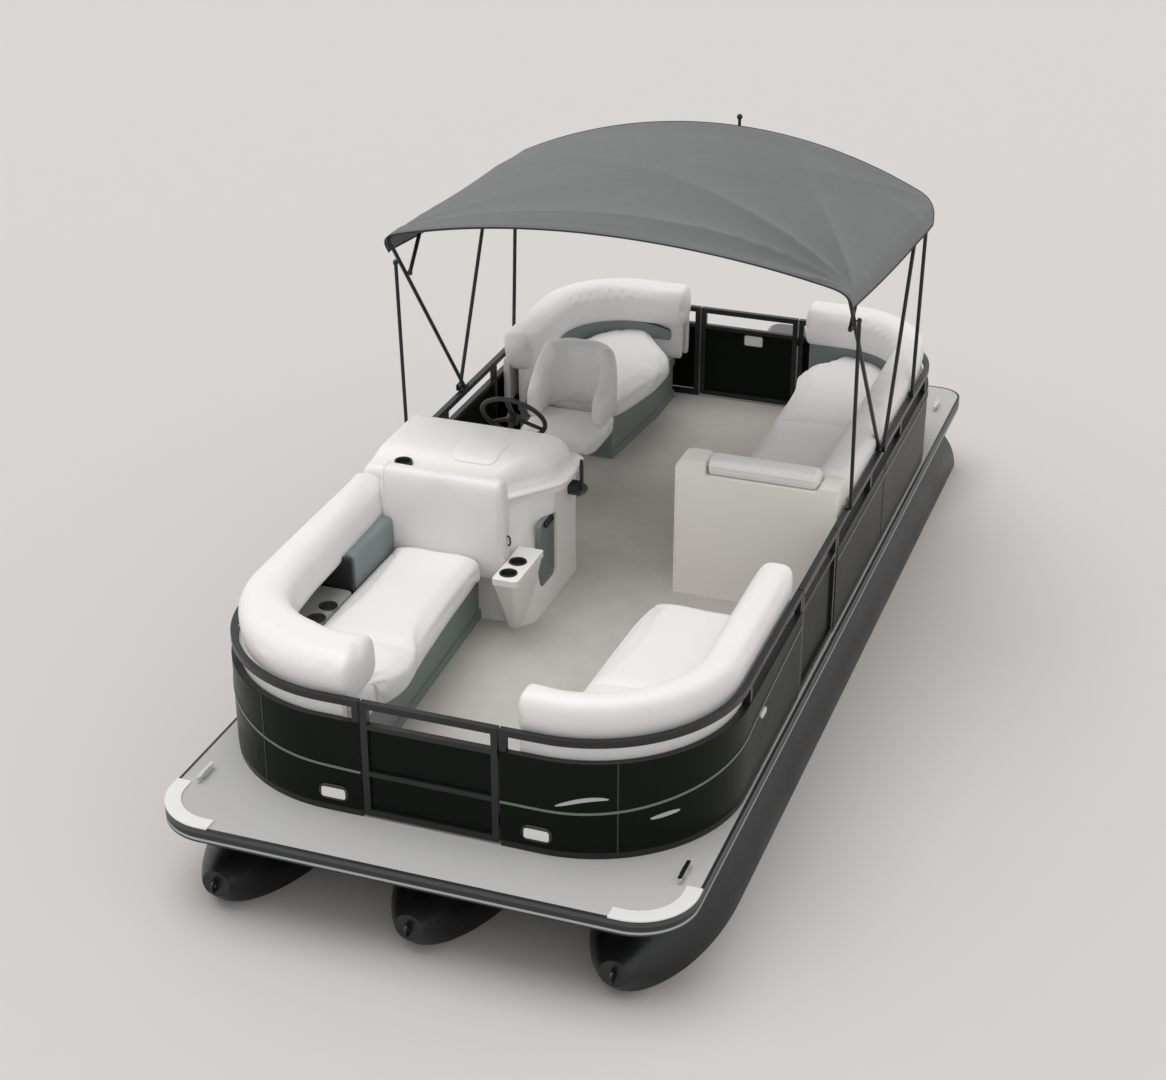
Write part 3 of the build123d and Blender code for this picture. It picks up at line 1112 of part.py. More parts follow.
with BuildPart() as outboard_leg:
    for height, length, width, middle in LEG_SECTIONS:
        with BuildSketch(Plane.XY.offset(height)):
            add(leg_section(length, width, middle))
    loft(ruled=True)
    # Pan below the cowl
    with BuildSketch(Plane.XY.offset(COWL_BOTTOM)):
        add(cowl_plan())
    extrude(amount=LEG_TOP - COWL_BOTTOM)
    # Anti-ventilation plate, gearcase torpedo and skeg
    with BuildSketch(Plane.XY.offset(PLATE_Z)):
        with Locations((0, LEG_Y + 30)):
            SlotCenterToCenter(240, 150, rotation=90)
    extrude(amount=8)
    with BuildSketch(Plane.XY.offset(PROP_Z)):
        with BuildLine():
            nose = ThreePointArc(
                (GEARCASE_RADIUS, LEG_Y - 20), (0.7 * GEARCASE_RADIUS, LEG_Y - 100), (0, LEG_Y - 140))
            Line((GEARCASE_RADIUS, LEG_Y - 20), (GEARCASE_RADIUS - 4, PROP_Y))
            Line((GEARCASE_RADIUS - 4, PROP_Y), (0, PROP_Y))
            Line((0, PROP_Y), (0, LEG_Y - 140))
        make_face()
    revolve(axis=Axis((0, 0, PROP_Z), (0, 1, 0)))
    with BuildSketch(Plane.YZ.offset(-5)):
        add(outline([
            (LEG_Y - 12, PROP_Z - SKEG_ROOT, 0), (LEG_Y + 10, PROP_Z - SKEG_DROP, 0),
            (LEG_Y + 70, PROP_Z - SKEG_DROP - 10, 30), (LEG_Y + 90, PROP_Z - SKEG_ROOT, 0)]))
    extrude(amount=10)
    with BuildSketch(Plane.XZ.offset(-PROP_Y)):
        with Locations((0, PROP_Z)):
            Circle(SHAFT_RADIUS)
    extrude(amount=-PROP_LENGTH)
    # Yoke arms and kingpin on the steering axis
    for low, high in ((HOUSING_TOP + 1, LEG_TOP), (HOUSING_BOTTOM - 30, HOUSING_BOTTOM - 1)):
        with BuildSketch(Plane.XY.offset(low)):
            with Locations((0, STEER_Y)):
                Circle(YOKE_RADIUS)
            with Locations((0, (STEER_Y + LEG_Y) / 2)):
                Rectangle(2 * YOKE_RADIUS, LEG_Y - STEER_Y)
        extrude(amount=high - low)
    with Locations((0, STEER_Y, HOUSING_BOTTOM - 10)):
        Cylinder(STEER_PIN, HOUSING_TOP - HOUSING_BOTTOM + 20,
                 align=(Align.CENTER, Align.CENTER, Align.MIN))
finish(outboard_leg.part, "outboard_leg")

with BuildPart() as outboard_cowl:
    with BuildSketch(Plane.XY.offset(LEG_TOP)):
        add(cowl_plan())
    extrude(amount=COWL_TOP - LEG_TOP, taper=4)
    fillet(outboard_cowl.faces().sort_by(Axis.Z)[-1].edges(), 45)
    offset(amount=-COWL_WALL, openings=outboard_cowl.faces().sort_by(Axis.Z)[0])
finish(outboard_cowl.part, "outboard_cowl")

with BuildPart() as powerhead:
    with BuildSketch(Plane.XY.offset(LEG_TOP)):
        with Locations((0, (COWL_FRONT + COWL_REAR) / 2)):
            Rectangle(POWER_WIDTH, POWER_LENGTH)
    extrude(amount=POWER_HEIGHT)
finish(powerhead.part, "powerhead")

with BuildPart() as propeller:
    with BuildSketch(Plane.XZ.offset(-PROP_Y - 2)):
        with Locations((0, PROP_Z)):
            Circle(PROP_HUB)
    extrude(amount=-PROP_LENGTH + 4)
    for blade in range(PROP_BLADES):
        turn = blade * 360 / PROP_BLADES
        for radius, chord, thick in PROP_SECTIONS:
            pitch = degrees(atan(PROP_PITCH / (2 * pi * radius)))
            with BuildSketch(Plane((Location((0, PROP_Y + PROP_LENGTH / 2, PROP_Z))
                                    * Rotation(0, turn, 0) * Location((0, 0, radius))
                                    * Rotation(0, 0, pitch)))):
                RectangleRounded(chord, thick, thick * 0.45)
        loft(ruled=True)
    with Locations(Location((0, PROP_Y + PROP_LENGTH / 2, PROP_Z)) * Rotation(90, 0, 0)):
        Cylinder(SHAFT_RADIUS + PIN_FIT, 2 * PROP_LENGTH, mode=Mode.SUBTRACT)
finish(propeller.part, "propeller")

# Small fittings on the deck and fence
with BuildPart() as bow_castings:
    with BuildSketch(Plane.XY.offset(DECK_TOP)):
        add(deck_plan(0))
        add(deck_plan(CASTING_WIDTH), mode=Mode.SUBTRACT)
        with Locations((-BEAM / 2, -DECK_LENGTH / 2), (BEAM / 2, -DECK_LENGTH / 2)):
            Rectangle(2 * CASTING_REACH, 2 * CASTING_REACH, mode=Mode.INTERSECT)
    extrude(amount=CASTING_THICK)
finish(bow_castings.part, "bow_castings")

with BuildPart() as docking_lights:
    with BuildSketch(Plane.XZ.offset(-FENCE_FRONT + SKIN_THICK)):
        with Locations(*[(x, DECK_TOP + LIGHT_HEIGHT) for x in DOCKING_LIGHTS]):
            RectangleRounded(LIGHT_WIDTH, LIGHT_TALL, 12)
    extrude(amount=LIGHT_DEPTH)
    # Small lights on the sides of the fence
    for side in (-1, 1):
        with BuildSketch(Plane.YZ.offset(side * (FENCE_HALF + SKIN_THICK))):
            with Locations((SIDE_LIGHT_Y, DECK_TOP + SIDE_LIGHT_HEIGHT)):
                SlotOverall(SIDE_LIGHT_LONG, SIDE_LIGHT_TALL)
        extrude(amount=side * LIGHT_DEPTH)
finish(docking_lights.part, "docking_lights")

with BuildPart() as cleats:
    for x, y in CLEATS:
        with BuildSketch(Plane.XY.offset(DECK_TOP)):
            with Locations((x, y)):
                Rectangle(24, 60)
        extrude(amount=34)
        with BuildSketch(Plane.XY.offset(DECK_TOP + 22)):
            with Locations((x, y)):
                SlotOverall(150, 20, rotation=90)
        extrude(amount=14)
finish(cleats.part, "cleats")
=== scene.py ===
"""Dresses the pontoon boat: upholstery, canvas, trim, fittings and finishes."""

import math

import bmesh
import bpy
import numpy as np
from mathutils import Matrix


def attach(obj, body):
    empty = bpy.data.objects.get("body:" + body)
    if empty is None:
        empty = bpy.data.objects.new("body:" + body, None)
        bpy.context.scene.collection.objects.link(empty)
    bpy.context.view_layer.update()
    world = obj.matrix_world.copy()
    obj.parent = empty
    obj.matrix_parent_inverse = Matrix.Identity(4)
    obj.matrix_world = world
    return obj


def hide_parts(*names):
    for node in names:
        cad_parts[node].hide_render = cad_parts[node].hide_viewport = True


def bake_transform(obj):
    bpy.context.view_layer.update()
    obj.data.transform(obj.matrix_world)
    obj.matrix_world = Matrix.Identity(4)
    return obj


bl_info = {
    "name": "Pontoon boat dressing",
    "version": (1, 0, 0),
    "blender": (4, 5, 0),
    "location": "3D View > Sidebar > Boat",
    "description": "Makes the cushions, canvas, trim and finishes of a three-tube pontoon boat",
    "category": "Object",
}

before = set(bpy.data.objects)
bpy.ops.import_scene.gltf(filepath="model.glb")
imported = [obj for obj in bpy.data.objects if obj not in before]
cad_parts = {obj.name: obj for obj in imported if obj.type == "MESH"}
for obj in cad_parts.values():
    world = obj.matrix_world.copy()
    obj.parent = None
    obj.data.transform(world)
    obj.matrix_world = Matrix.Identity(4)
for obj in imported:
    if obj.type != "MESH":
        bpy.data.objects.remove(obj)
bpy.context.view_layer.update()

# Height of the deck's top, and the fence's plan: half width, ends and corner radii
DECK = 0.5
FENCE_HALF = 1.269
FENCE_FRONT = -2.756
FENCE_REAR = 2.456
BOW_RADIUS = 0.74
STERN_RADIUS = 0.60


# Settings
def size(label, text, value, low, high, unit="LENGTH"):
    """Number property with its default and limits."""
    return bpy.props.FloatProperty(name=label, description=text, default=value, min=low,
                                   max=high, unit=unit)


def colour(label, text, value):
    """Colour property with its default."""
    return bpy.props.FloatVectorProperty(name=label, description=text, default=value, size=3,
                                         min=0.0, max=1.0, subtype="COLOR")


class BoatSizes(bpy.types.PropertyGroup):
    """Sizes that a user would change."""

    seat_crown: size("Seat crown", "How far a seat swells at its middle", 0.014, 0.0, 0.05)
    seam_depth: size("Seam depth", "Depth of a sewn seam in the upholstery", 0.006, 0.0, 0.02)
    piping_radius: size("Piping radius", "Radius of the piping on cushions", 0.004, 0.001, 0.01)
    pressure: size("Filling pressure", "Pressure that plumps the cushions", 4.0, 0.0, 20.0, "NONE")
    canvas_sag: size("Canvas sag", "How far the canopy dips between its bows", 0.012, 0.0, 0.05)
    skirt: size("Canopy skirt", "How far the canopy comes down its legs", 0.05, 0.0, 0.3)


class BoatColours(bpy.types.PropertyGroup):
    """Colours of the finishes."""

    vinyl: colour("White vinyl", "Main upholstery", (0.86, 0.845, 0.835))
    accent: colour("Accent vinyl", "Inset panels of the upholstery", (0.21, 0.245, 0.25))
    base: colour("Seat base", "Moulded bases under the seats", (0.22, 0.27, 0.255))
    gelcoat: colour("Gelcoat", "Helm console", (0.90, 0.88, 0.86))
    panel: colour("Cream panel", "Cabinet panel", (0.93, 0.905, 0.845))
    # Painted light: the deck covering is one material in two tones. Under the canopy it is painted
    # lighter to make up for the canopy's shade. Outside the fence it has its unshaded tone.
    bow_deck_unshaded_tone: colour("Bow deck", "Deck outside the fence", (0.50, 0.50, 0.49))
    floor: colour("Deck", "Woven deck covering", (0.57, 0.545, 0.51))
    canvas: colour("Canvas", "Canopy cloth", (0.128, 0.136, 0.136))
    black: colour("Black", "Fence frame and bows", (0.012, 0.012, 0.014))
    skin: colour("Fence skin", "Glossy panels of the fence", (0.005, 0.008, 0.0045))
    silver: colour("Silver", "Accent lines", (0.50, 0.52, 0.53))
    # Hull tubes set near black, far darker than bare aluminium. The darkness is partly painted
    # shade and a painted dark reflection, for the shadow under the deck and the dark water that the
    # tubes lie in.
    hull: colour("Hull", "Aluminium tubes", (0.050, 0.052, 0.054))
    backdrop: colour("Floor", "Studio floor", (0.62, 0.60, 0.58))


def sizes():
    """The scene's sizes."""
    return bpy.context.scene.boat_sizes


# Materials
def shade(value, factor):
    """Colour made lighter or darker by a factor, as four channels."""
    return (*[min(1.0, c * factor) for c in value], 1.0)


def node_maker(tree):
    """Function that adds a node to a tree and returns one of its outputs.

    Each socket takes a plain value or the output that feeds it.
    """
    def add(kind, output, sockets, **settings):
        node = tree.nodes.new(f"ShaderNode{kind}")
        for key, setting in settings.items():
            setattr(node, key, setting)
        for socket, source in sockets.items():
            if isinstance(source, bpy.types.NodeSocket):
                tree.links.new(source, node.inputs[socket])
            else:
                node.inputs[socket].default_value = source
        return node.outputs[output]
    return add


def beyond_fence(add, place):
    """Output that is 1 outside the fence's plan and 0 inside: the mask between the deck's two
    painted-light tones.

    Outside, the distance from the middle of a corner's circle is more than the circle's radius.
    """
    squares = []
    for axis, front, rear in (("X", -FENCE_HALF, FENCE_HALF), ("Y", FENCE_FRONT, FENCE_REAR)):
        gap = add("SeparateXYZ", axis, {"Vector": place})
        for action, value in (("SUBTRACT", (front + rear) / 2), ("ABSOLUTE", 0.0),
                              ("SUBTRACT", (rear - front) / 2 - BOW_RADIUS),
                              ("MAXIMUM", 0.0), ("POWER", 2.0)):
            gap = add("Math", "Value", {0: gap, 1: value}, operation=action)
        squares.append(gap)
    total = add("Math", "Value", dict(enumerate(squares)))
    return add("Math", "Value", {0: total, 1: BOW_RADIUS ** 2}, operation="GREATER_THAN")


def material(name, value, roughness, metallic=0.0, coat=0.0, sheen=0.0, specular=0.5, mottle=0.06,
             mottle_scale=4.0, rough_spread=0.08, grain=("noise", 300.0, 0.0002), crease=None,
             bands=(), outside=None):
    """Principled surface with mottled colour, uneven roughness, a fine grain and soft creases.

    grain is (texture, scale, depth), the texture being noise, voronoi or weave. crease is
    (depth, scale). bands are (low, high, colour) in height. outside is a colour for what lies
    outside the fence: a second tone of the same finish, painted light, since the deck under the
    canopy is painted lighter to make up for the canopy's shade.
    """
    made = bpy.data.materials.new(name)
    made.use_nodes = True
    tree = made.node_tree
    add = node_maker(tree)
    surface = tree.nodes["Principled BSDF"].inputs
    for socket, amount in (("Metallic", metallic), ("Coat Weight", coat), ("Coat Roughness", 0.08),
                           ("Specular IOR Level", specular), ("Sheen Weight", sheen)):
        surface[socket].default_value = amount

    def mix(factor, a, b):
        return add("Mix", "Result", {"A": a, "B": b, "Factor": factor}, data_type="RGBA")

    place = add("TexCoord", "Object", {})
    cloudy = add("TexNoise", "Fac", {"Scale": mottle_scale, "Detail": 6.0, "Vector": place})
    tone = mix(cloudy, shade(value, 1.0 - mottle), shade(value, 1.0 + mottle))
    for low, high, stripe in bands:
        height = add("SeparateXYZ", "Z", {"Vector": place})
        inside = add("Math", "Value", {0: height, 1: (low + high) / 2, 2: (high - low) / 2},
                     operation="COMPARE")
        tone = mix(inside, tone, (*stripe, 1.0))
    # Painted light: outside the fence the finish takes its unshaded tone. Inside, under the canopy,
    # it keeps a tone painted lighter against the canopy's shade.
    if outside:
        tone = mix(beyond_fence(add, place), tone, (*outside, 1.0))
    uneven = add("MapRange", "Result", {"Value": cloudy,
                                        "To Min": max(0.02, roughness - rough_spread),
                                        "To Max": min(1.0, roughness + rough_spread)})
    under = {}
    if crease:
        depth, scale = crease
        folds = add("TexNoise", "Fac", {"Scale": scale, "Detail": 2.0, "Vector": place})
        under["Normal"] = add("Bump", "Normal", {"Height": folds, "Distance": depth,
                                                 "Strength": 1.0})
    texture, scale, depth = grain
    if texture == "weave":
        threads = [add("TexWave", "Fac", {"Scale": scale, "Distortion": 0.6, "Vector": place},
                       bands_direction=axis) for axis in ("X", "Y")]
        fine = add("Math", "Value", dict(enumerate(threads)), operation="MAXIMUM")
    else:
        kind, output = {"noise": ("TexNoise", "Fac"),
                        "voronoi": ("TexVoronoi", "Distance")}[texture]
        fine = add(kind, output, {"Scale": scale, "Vector": place})
    normal = add("Bump", "Normal", {"Height": fine, "Distance": depth, "Strength": 0.7, **under})
    for socket, source in (("Base Color", tone), ("Roughness", uneven), ("Normal", normal)):
        tree.links.new(source, surface[socket])


def finishes(hues):
    """Table of the finishes: colour, roughness, and the rest of what material takes."""
    def row(value, roughness, **rest):
        return value, roughness, rest

    silver = tuple(hues.silver)
    return {
        "white vinyl": row(hues.vinyl, 0.44, mottle=0.02, sheen=0.05, crease=(0.004, 7),
                           grain=("voronoi", 420, 0.0004)),
        "accent vinyl": row(hues.accent, 0.5, mottle=0.05, crease=(0.002, 9),
                            grain=("voronoi", 420, 0.0004)),
        "cream panel": row(hues.panel, 0.42, mottle=0.025, grain=("noise", 90, 0.0003)),
        "seat base": row(hues.base, 0.5, grain=("noise", 700, 0.0004)),
        "gelcoat": row(hues.gelcoat, 0.38, coat=0.08, mottle=0.012, rough_spread=0.03,
                       grain=("noise", 500, 0.00006)),
        "shelf tray": row((0.30, 0.31, 0.30), 0.4, coat=0.1, mottle=0.05,
                          grain=("noise", 160, 0.0003)),
        # Deck: painted light, one covering in two tones. The tone under the canopy is painted
        # lighter to make up for the canopy's shade.
        "deck weave": row(hues.floor, 0.85, mottle=0.10, mottle_scale=9, specular=0.3,
                          grain=("weave", 55, 0.001), outside=tuple(hues.bow_deck_unshaded_tone)),
        "canvas": row(hues.canvas, 0.85, mottle=0.09, mottle_scale=2.2, sheen=0.25, specular=0.3,
                      grain=("weave", 160, 0.0004), crease=(0.010, 3.2)),
        "hem tape": row(shade(hues.canvas, 0.16)[:3], 0.8, grain=("weave", 260, 0.0003)),
        "webbing": row((0.02, 0.02, 0.022), 0.8, mottle=0.15, grain=("weave", 420, 0.0005)),
        "powder coat": row(hues.black, 0.38, coat=0.1, mottle=0.2, specular=0.4,
                           grain=("noise", 900, 0.0002)),
        "gloss skin": row(hues.skin, 0.32, mottle=0.25, mottle_scale=1.5, specular=0.08,
                          grain=("noise", 5, 0.002)),
        "dull strip": row((0.16, 0.19, 0.165), 0.45, metallic=0.2, mottle=0.08,
                          grain=("noise", 400, 0.0002)),
        "silver line": row(silver, 0.32, metallic=0.6, mottle=0.05),
        "rub rail": row((0.018, 0.019, 0.022), 0.45, mottle=0.2, grain=("noise", 200, 0.0003),
                        bands=((0.472, 0.494, (0.055, 0.065, 0.065)),
                               (0.4335, 0.447, tuple(c * 0.8 for c in silver)))),
        # Hull: dark base colour, partly painted shade and a painted dark reflection.
        "hull metal with painted shade": row(hues.hull, 0.36, metallic=0.9, mottle=0.12, mottle_scale=3,
                          grain=("noise", 22, 0.002), rough_spread=0.14),
        "white plastic": row((0.80, 0.80, 0.79), 0.3, coat=0.2, mottle=0.02,
                             grain=("noise", 120, 0.0002)),
        "black plastic": row((0.018, 0.018, 0.019), 0.42, mottle=0.15,
                             grain=("noise", 600, 0.0002)),
        "polished": row((0.72, 0.73, 0.74), 0.14, metallic=1.0, mottle=0.04, rough_spread=0.05,
                        grain=("noise", 40, 0.0002)),
        "motor paint": row((0.014, 0.014, 0.016), 0.22, coat=0.6, mottle=0.1,
                           grain=("noise", 300, 0.0001)),
        "engine block": row((0.09, 0.09, 0.09), 0.6, metallic=0.5, mottle=0.2,
                            grain=("noise", 60, 0.001)),
        "lens": row((0.85, 0.85, 0.83), 0.12, coat=0.6, mottle=0.02, grain=("weave", 70, 0.0008)),
        "recess": row((0.20, 0.235, 0.225), 0.6, mottle=0.15, grain=("noise", 300, 0.0003)),
        "dark hole": row((0.006, 0.006, 0.006), 0.5, mottle=0.2),
        "gauge face": row((0.03, 0.03, 0.032), 0.3, coat=0.4, mottle=0.1,
                          grain=("noise", 200, 0.0001)),
        "studio floor": row(hues.backdrop, 0.75, mottle=0.01, grain=("noise", 12, 0.0006)),
    }


def finish_of(kind):
    """Material of one finish, by its plain name."""
    name = f"{kind} finish"
    if name not in bpy.data.materials:
        value, roughness, rest = finishes(bpy.context.scene.boat_colours)[kind]
        material(name, value, roughness, **rest)
    return bpy.data.materials[name]


def paint(table):
    """Gives CAD nodes their finish. The table lists the nodes of each finish."""
    for kind, nodes in table.items():
        for node in nodes.split():
            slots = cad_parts[node].data.materials
            slots.clear()
            slots.append(finish_of(kind))


# Lines
def unit(vectors):
    """Vectors at length 1."""
    return vectors / np.linalg.norm(vectors, axis=-1, keepdims=True)


def normals(course):
    """Unit normals of steps in plan, to their right: outwards if they run counter-clockwise."""
    ahead = unit(course)
    return np.stack([ahead[:, 1], -ahead[:, 0]], -1)


def reach_along(points):
    """Distance from the first point to each point, along the line."""
    return np.r_[0, np.cumsum(np.linalg.norm(np.diff(points, axis=0), axis=1))]


def shares(line):
    """Numbers from 0 to 1, one for each point of a line."""
    return np.linspace(0, 1, len(line))


def look_up(table, place):
    """Value at a place, in a table of (place, value) joined by straight lines."""
    return np.interp(place, *np.transpose(table))


def smoothed(values, reach):
    """Running mean over each value and its neighbours as far as reach on both sides."""
    width = 2 * reach + 1
    return np.convolve(np.pad(values, reach, mode="edge"), np.ones(width) / width, mode="valid")


def resample(points, step):
    """Points evenly spaced along a line of points."""
    points = np.asarray(points, float)
    reach = reach_along(points)
    places = np.linspace(0, reach[-1], max(2, int(round(reach[-1] / step)) + 1))
    return np.stack([np.interp(places, reach, column) for column in points.T], -1)


def in_space(line, axis, value):
    """Points in space from a line in two axes. The axis that it lacks gets the value."""
    return np.insert(line, axis, value, axis=1)


def shrunk(line, share):
    """Line scaled towards the mean of its points."""
    middle = line.mean(0)
    return middle + share * (line - middle)


def grown(line, amount):
    """Closed counter-clockwise line moved outwards, each point along its own normal."""
    return line + amount * normals(np.roll(line, -1, 0) - np.roll(line, 1, 0))


def rounded(corners, step):
    """Closed line round a shape: each corner (x, y, radius) is an arc that touches both sides.

    The arc's centre lies on the corner's bisector at radius / sin(half the corner's angle).
    """
    corners = np.asarray(corners, float)
    runs = []
    for before, here, after in zip(np.roll(corners, 1, 0), corners, np.roll(corners, -1, 0)):
        back, ahead = unit(before[:2] - here[:2]), unit(after[:2] - here[:2])
        half = math.acos(float(np.clip(back @ ahead, -1, 1))) / 2
        radius = here[2]
        middle = here[:2] + unit(back + ahead) * radius / math.sin(half)
        first, last = (here[:2] + side * radius / math.tan(half) - middle for side in (back, ahead))
        start = math.atan2(first[1], first[0])
        turn = (math.atan2(last[1], last[0]) - start + math.pi) % (2 * math.pi) - math.pi
        angle = start + turn * np.linspace(0, 1, 16)
        runs.append(middle + radius * np.stack([np.cos(angle), np.sin(angle)], -1))
    return resample(np.vstack([*runs, runs[0][:1]]), step)[:-1]


def rectangle(low, high, radius, step):
    """Closed line round a rectangle between two opposite corners, with its corners rounded."""
    (left, bottom), (right, top) = low, high
    return rounded([(left, bottom, radius), (right, bottom, radius), (right, top, radius),
                    (left, top, radius)], step)


def fence_line(inset, step):
    """Closed line of the fence's plan, set in: straight sides joined by quarter circles."""
    half, front, rear = FENCE_HALF - inset, FENCE_FRONT + inset, FENCE_REAR - inset
    bow, stern = BOW_RADIUS - inset, STERN_RADIUS - inset
    corners = [(half - bow, front + bow, bow, -90), (half - stern, rear - stern, stern, 0),
               (-half + stern, rear - stern, stern, 90), (-half + bow, front + bow, bow, 180)]
    runs = [[(0.0, front)]]
    for x, y, radius, start in corners:
        angle = np.radians(np.linspace(0, 90, 40)) + math.radians(start)
        runs.append(np.stack([x + radius * np.cos(angle), y + radius * np.sin(angle)], -1))
    return resample(np.vstack([*runs, runs[0]]), step)


def nearest(line, place):
    """Number of the line's point that is nearest to a place."""
    return int(np.argmin(np.linalg.norm(line - place, axis=1)))


def fence_stretch(inset, start, end, step=0.01):
    """Part of the fence's plan between the points nearest to start and end, counter-clockwise."""
    line = fence_line(inset, step)[:-1]
    first, last = nearest(line, start), nearest(line, end)
    if last <= first:
        last += len(line)
    return line[np.arange(first, last + 1) % len(line)]


def superellipse(count, width, height, power):
    """Unit closed curve |x|^p + |y|^p = 1, with points evenly spaced once it is scaled."""
    angle = np.linspace(0, 2 * np.pi, 4001)
    x, y = (np.sign(wave) * np.abs(wave) ** (2 / power) for wave in (np.cos(angle), np.sin(angle)))
    reach = np.r_[0, np.cumsum(np.hypot(np.diff(x) * width, np.diff(y) * height))]
    places = np.linspace(0, reach[-1], count, endpoint=False)
    return np.interp(places, reach, x), np.interp(places, reach, y)


# Meshes
def place_mesh(name, points, faces, kind, slot=None, body="boat", smooth=True):
    """Object from points and faces, facing outwards, with a finish.

    The slot is not used. The object rides on a body, if any.
    """
    mesh = bpy.data.meshes.new(name)
    mesh.from_pydata(np.asarray(points, float).reshape(-1, 3).tolist(), [], faces)
    mesh.validate()
    shell = bmesh.new()
    shell.from_mesh(mesh)
    bmesh.ops.recalc_face_normals(shell, faces=shell.faces)
    shell.to_mesh(mesh)
    shell.free()
    mesh.polygons.foreach_set("use_smooth", [smooth] * len(mesh.polygons))
    piece = bpy.data.objects.new(name, mesh)
    bpy.context.scene.collection.objects.link(piece)
    mesh.materials.append(finish_of(kind))
    if body:
        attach(piece, body)
    slot or kind.replace(" ", "_")
    return piece


def points_of(mesh):
    """The mesh's points, one in each row."""
    points = np.empty(len(mesh.vertices) * 3)
    mesh.vertices.foreach_get("co", points)
    return points.reshape(-1, 3)


def ring_faces(rings, around, closed=False):
    """Quads between neighbouring rings of points, and a cap point at each end if open.

    Ring i's point k has number i * around + k. The two cap points come last.
    """
    i, k = np.meshgrid(np.arange(rings - (not closed)), np.arange(around), indexing="ij")
    j = (i + 1) % rings
    m = (k + 1) % around
    quads = np.stack([i * around + k, i * around + m, j * around + m, j * around + k], -1)
    faces = quads.reshape(-1, 4).tolist()
    if not closed:
        ring = np.arange(around)
        turn = (ring + 1) % around
        cap, last = rings * around, (rings - 1) * around
        for fan in ((np.full(around, cap), turn, ring),
                    (np.full(around, cap + 1), last + ring, last + turn)):
            faces += np.stack(fan, -1).tolist()
    return faces


def skin_over(name, rings, kind, slot=None, body="boat", smooth=True):
    """Closed surface through rings of points, with each end closed to the middle of its ring."""
    rings = np.asarray(rings, float)
    points = np.vstack([rings.reshape(-1, 3), rings[0].mean(0), rings[-1].mean(0)])
    return place_mesh(name, points, ring_faces(*rings.shape[:2]), kind, slot, body, smooth)


def tube(name, path, radius, kind, slot=None, body="boat", around=8, closed=False):
    """Round tube along a path of points.

    Each ring is a circle square to the path: centre plus radius times the cosine and sine of an
    angle along two directions that are both square to the path's tangent. They come from the
    guide that keeps farthest from every tangent.
    """
    path = np.asarray(path, float)
    tangent = unit(np.roll(path, -1, 0) - np.roll(path, 1, 0) if closed
                   else np.gradient(path, axis=0))
    guides = unit(np.array([(0, 0, 1), (1, 0, 0), (0, 1, 0), (1, 1, 1), (1, -1, 1), (1, 1, -1),
                            (-1, 1, 1)], float))
    guide = guides[int(np.argmin(np.abs(tangent @ guides.T).max(0)))]
    side = unit(np.cross(tangent, guide))
    up = np.cross(side, tangent)
    angle = np.linspace(0, 2 * np.pi, around, endpoint=False)
    points = (path[:, None] + radius * (np.cos(angle)[None, :, None] * side[:, None]
                                        + np.sin(angle)[None, :, None] * up[:, None]))
    points = points.reshape(-1, 3)
    if not closed:
        points = np.vstack([points, path[0], path[-1]])
    return place_mesh(name, points, ring_faces(len(path), around, closed), kind, slot, body)


# Power of a cushion's rounded ends, half width of a seam, and how near it the points are pinned
CAP_POWER = 2.8
SEAM_HALF = 0.007
SEAM_HOLD = 0.010
# Below this share of its half height, a cushion is held to its base
BASE_HOLD = -0.86
# Angle round the section, in degrees from outwards over the top, of a seat's piping
SEAT_PIPING = 158
# Distance between a cushion's sections, and the frames that its cloth swells for
SECTION_STEP = 0.013
CLOTH_FRAMES = 12


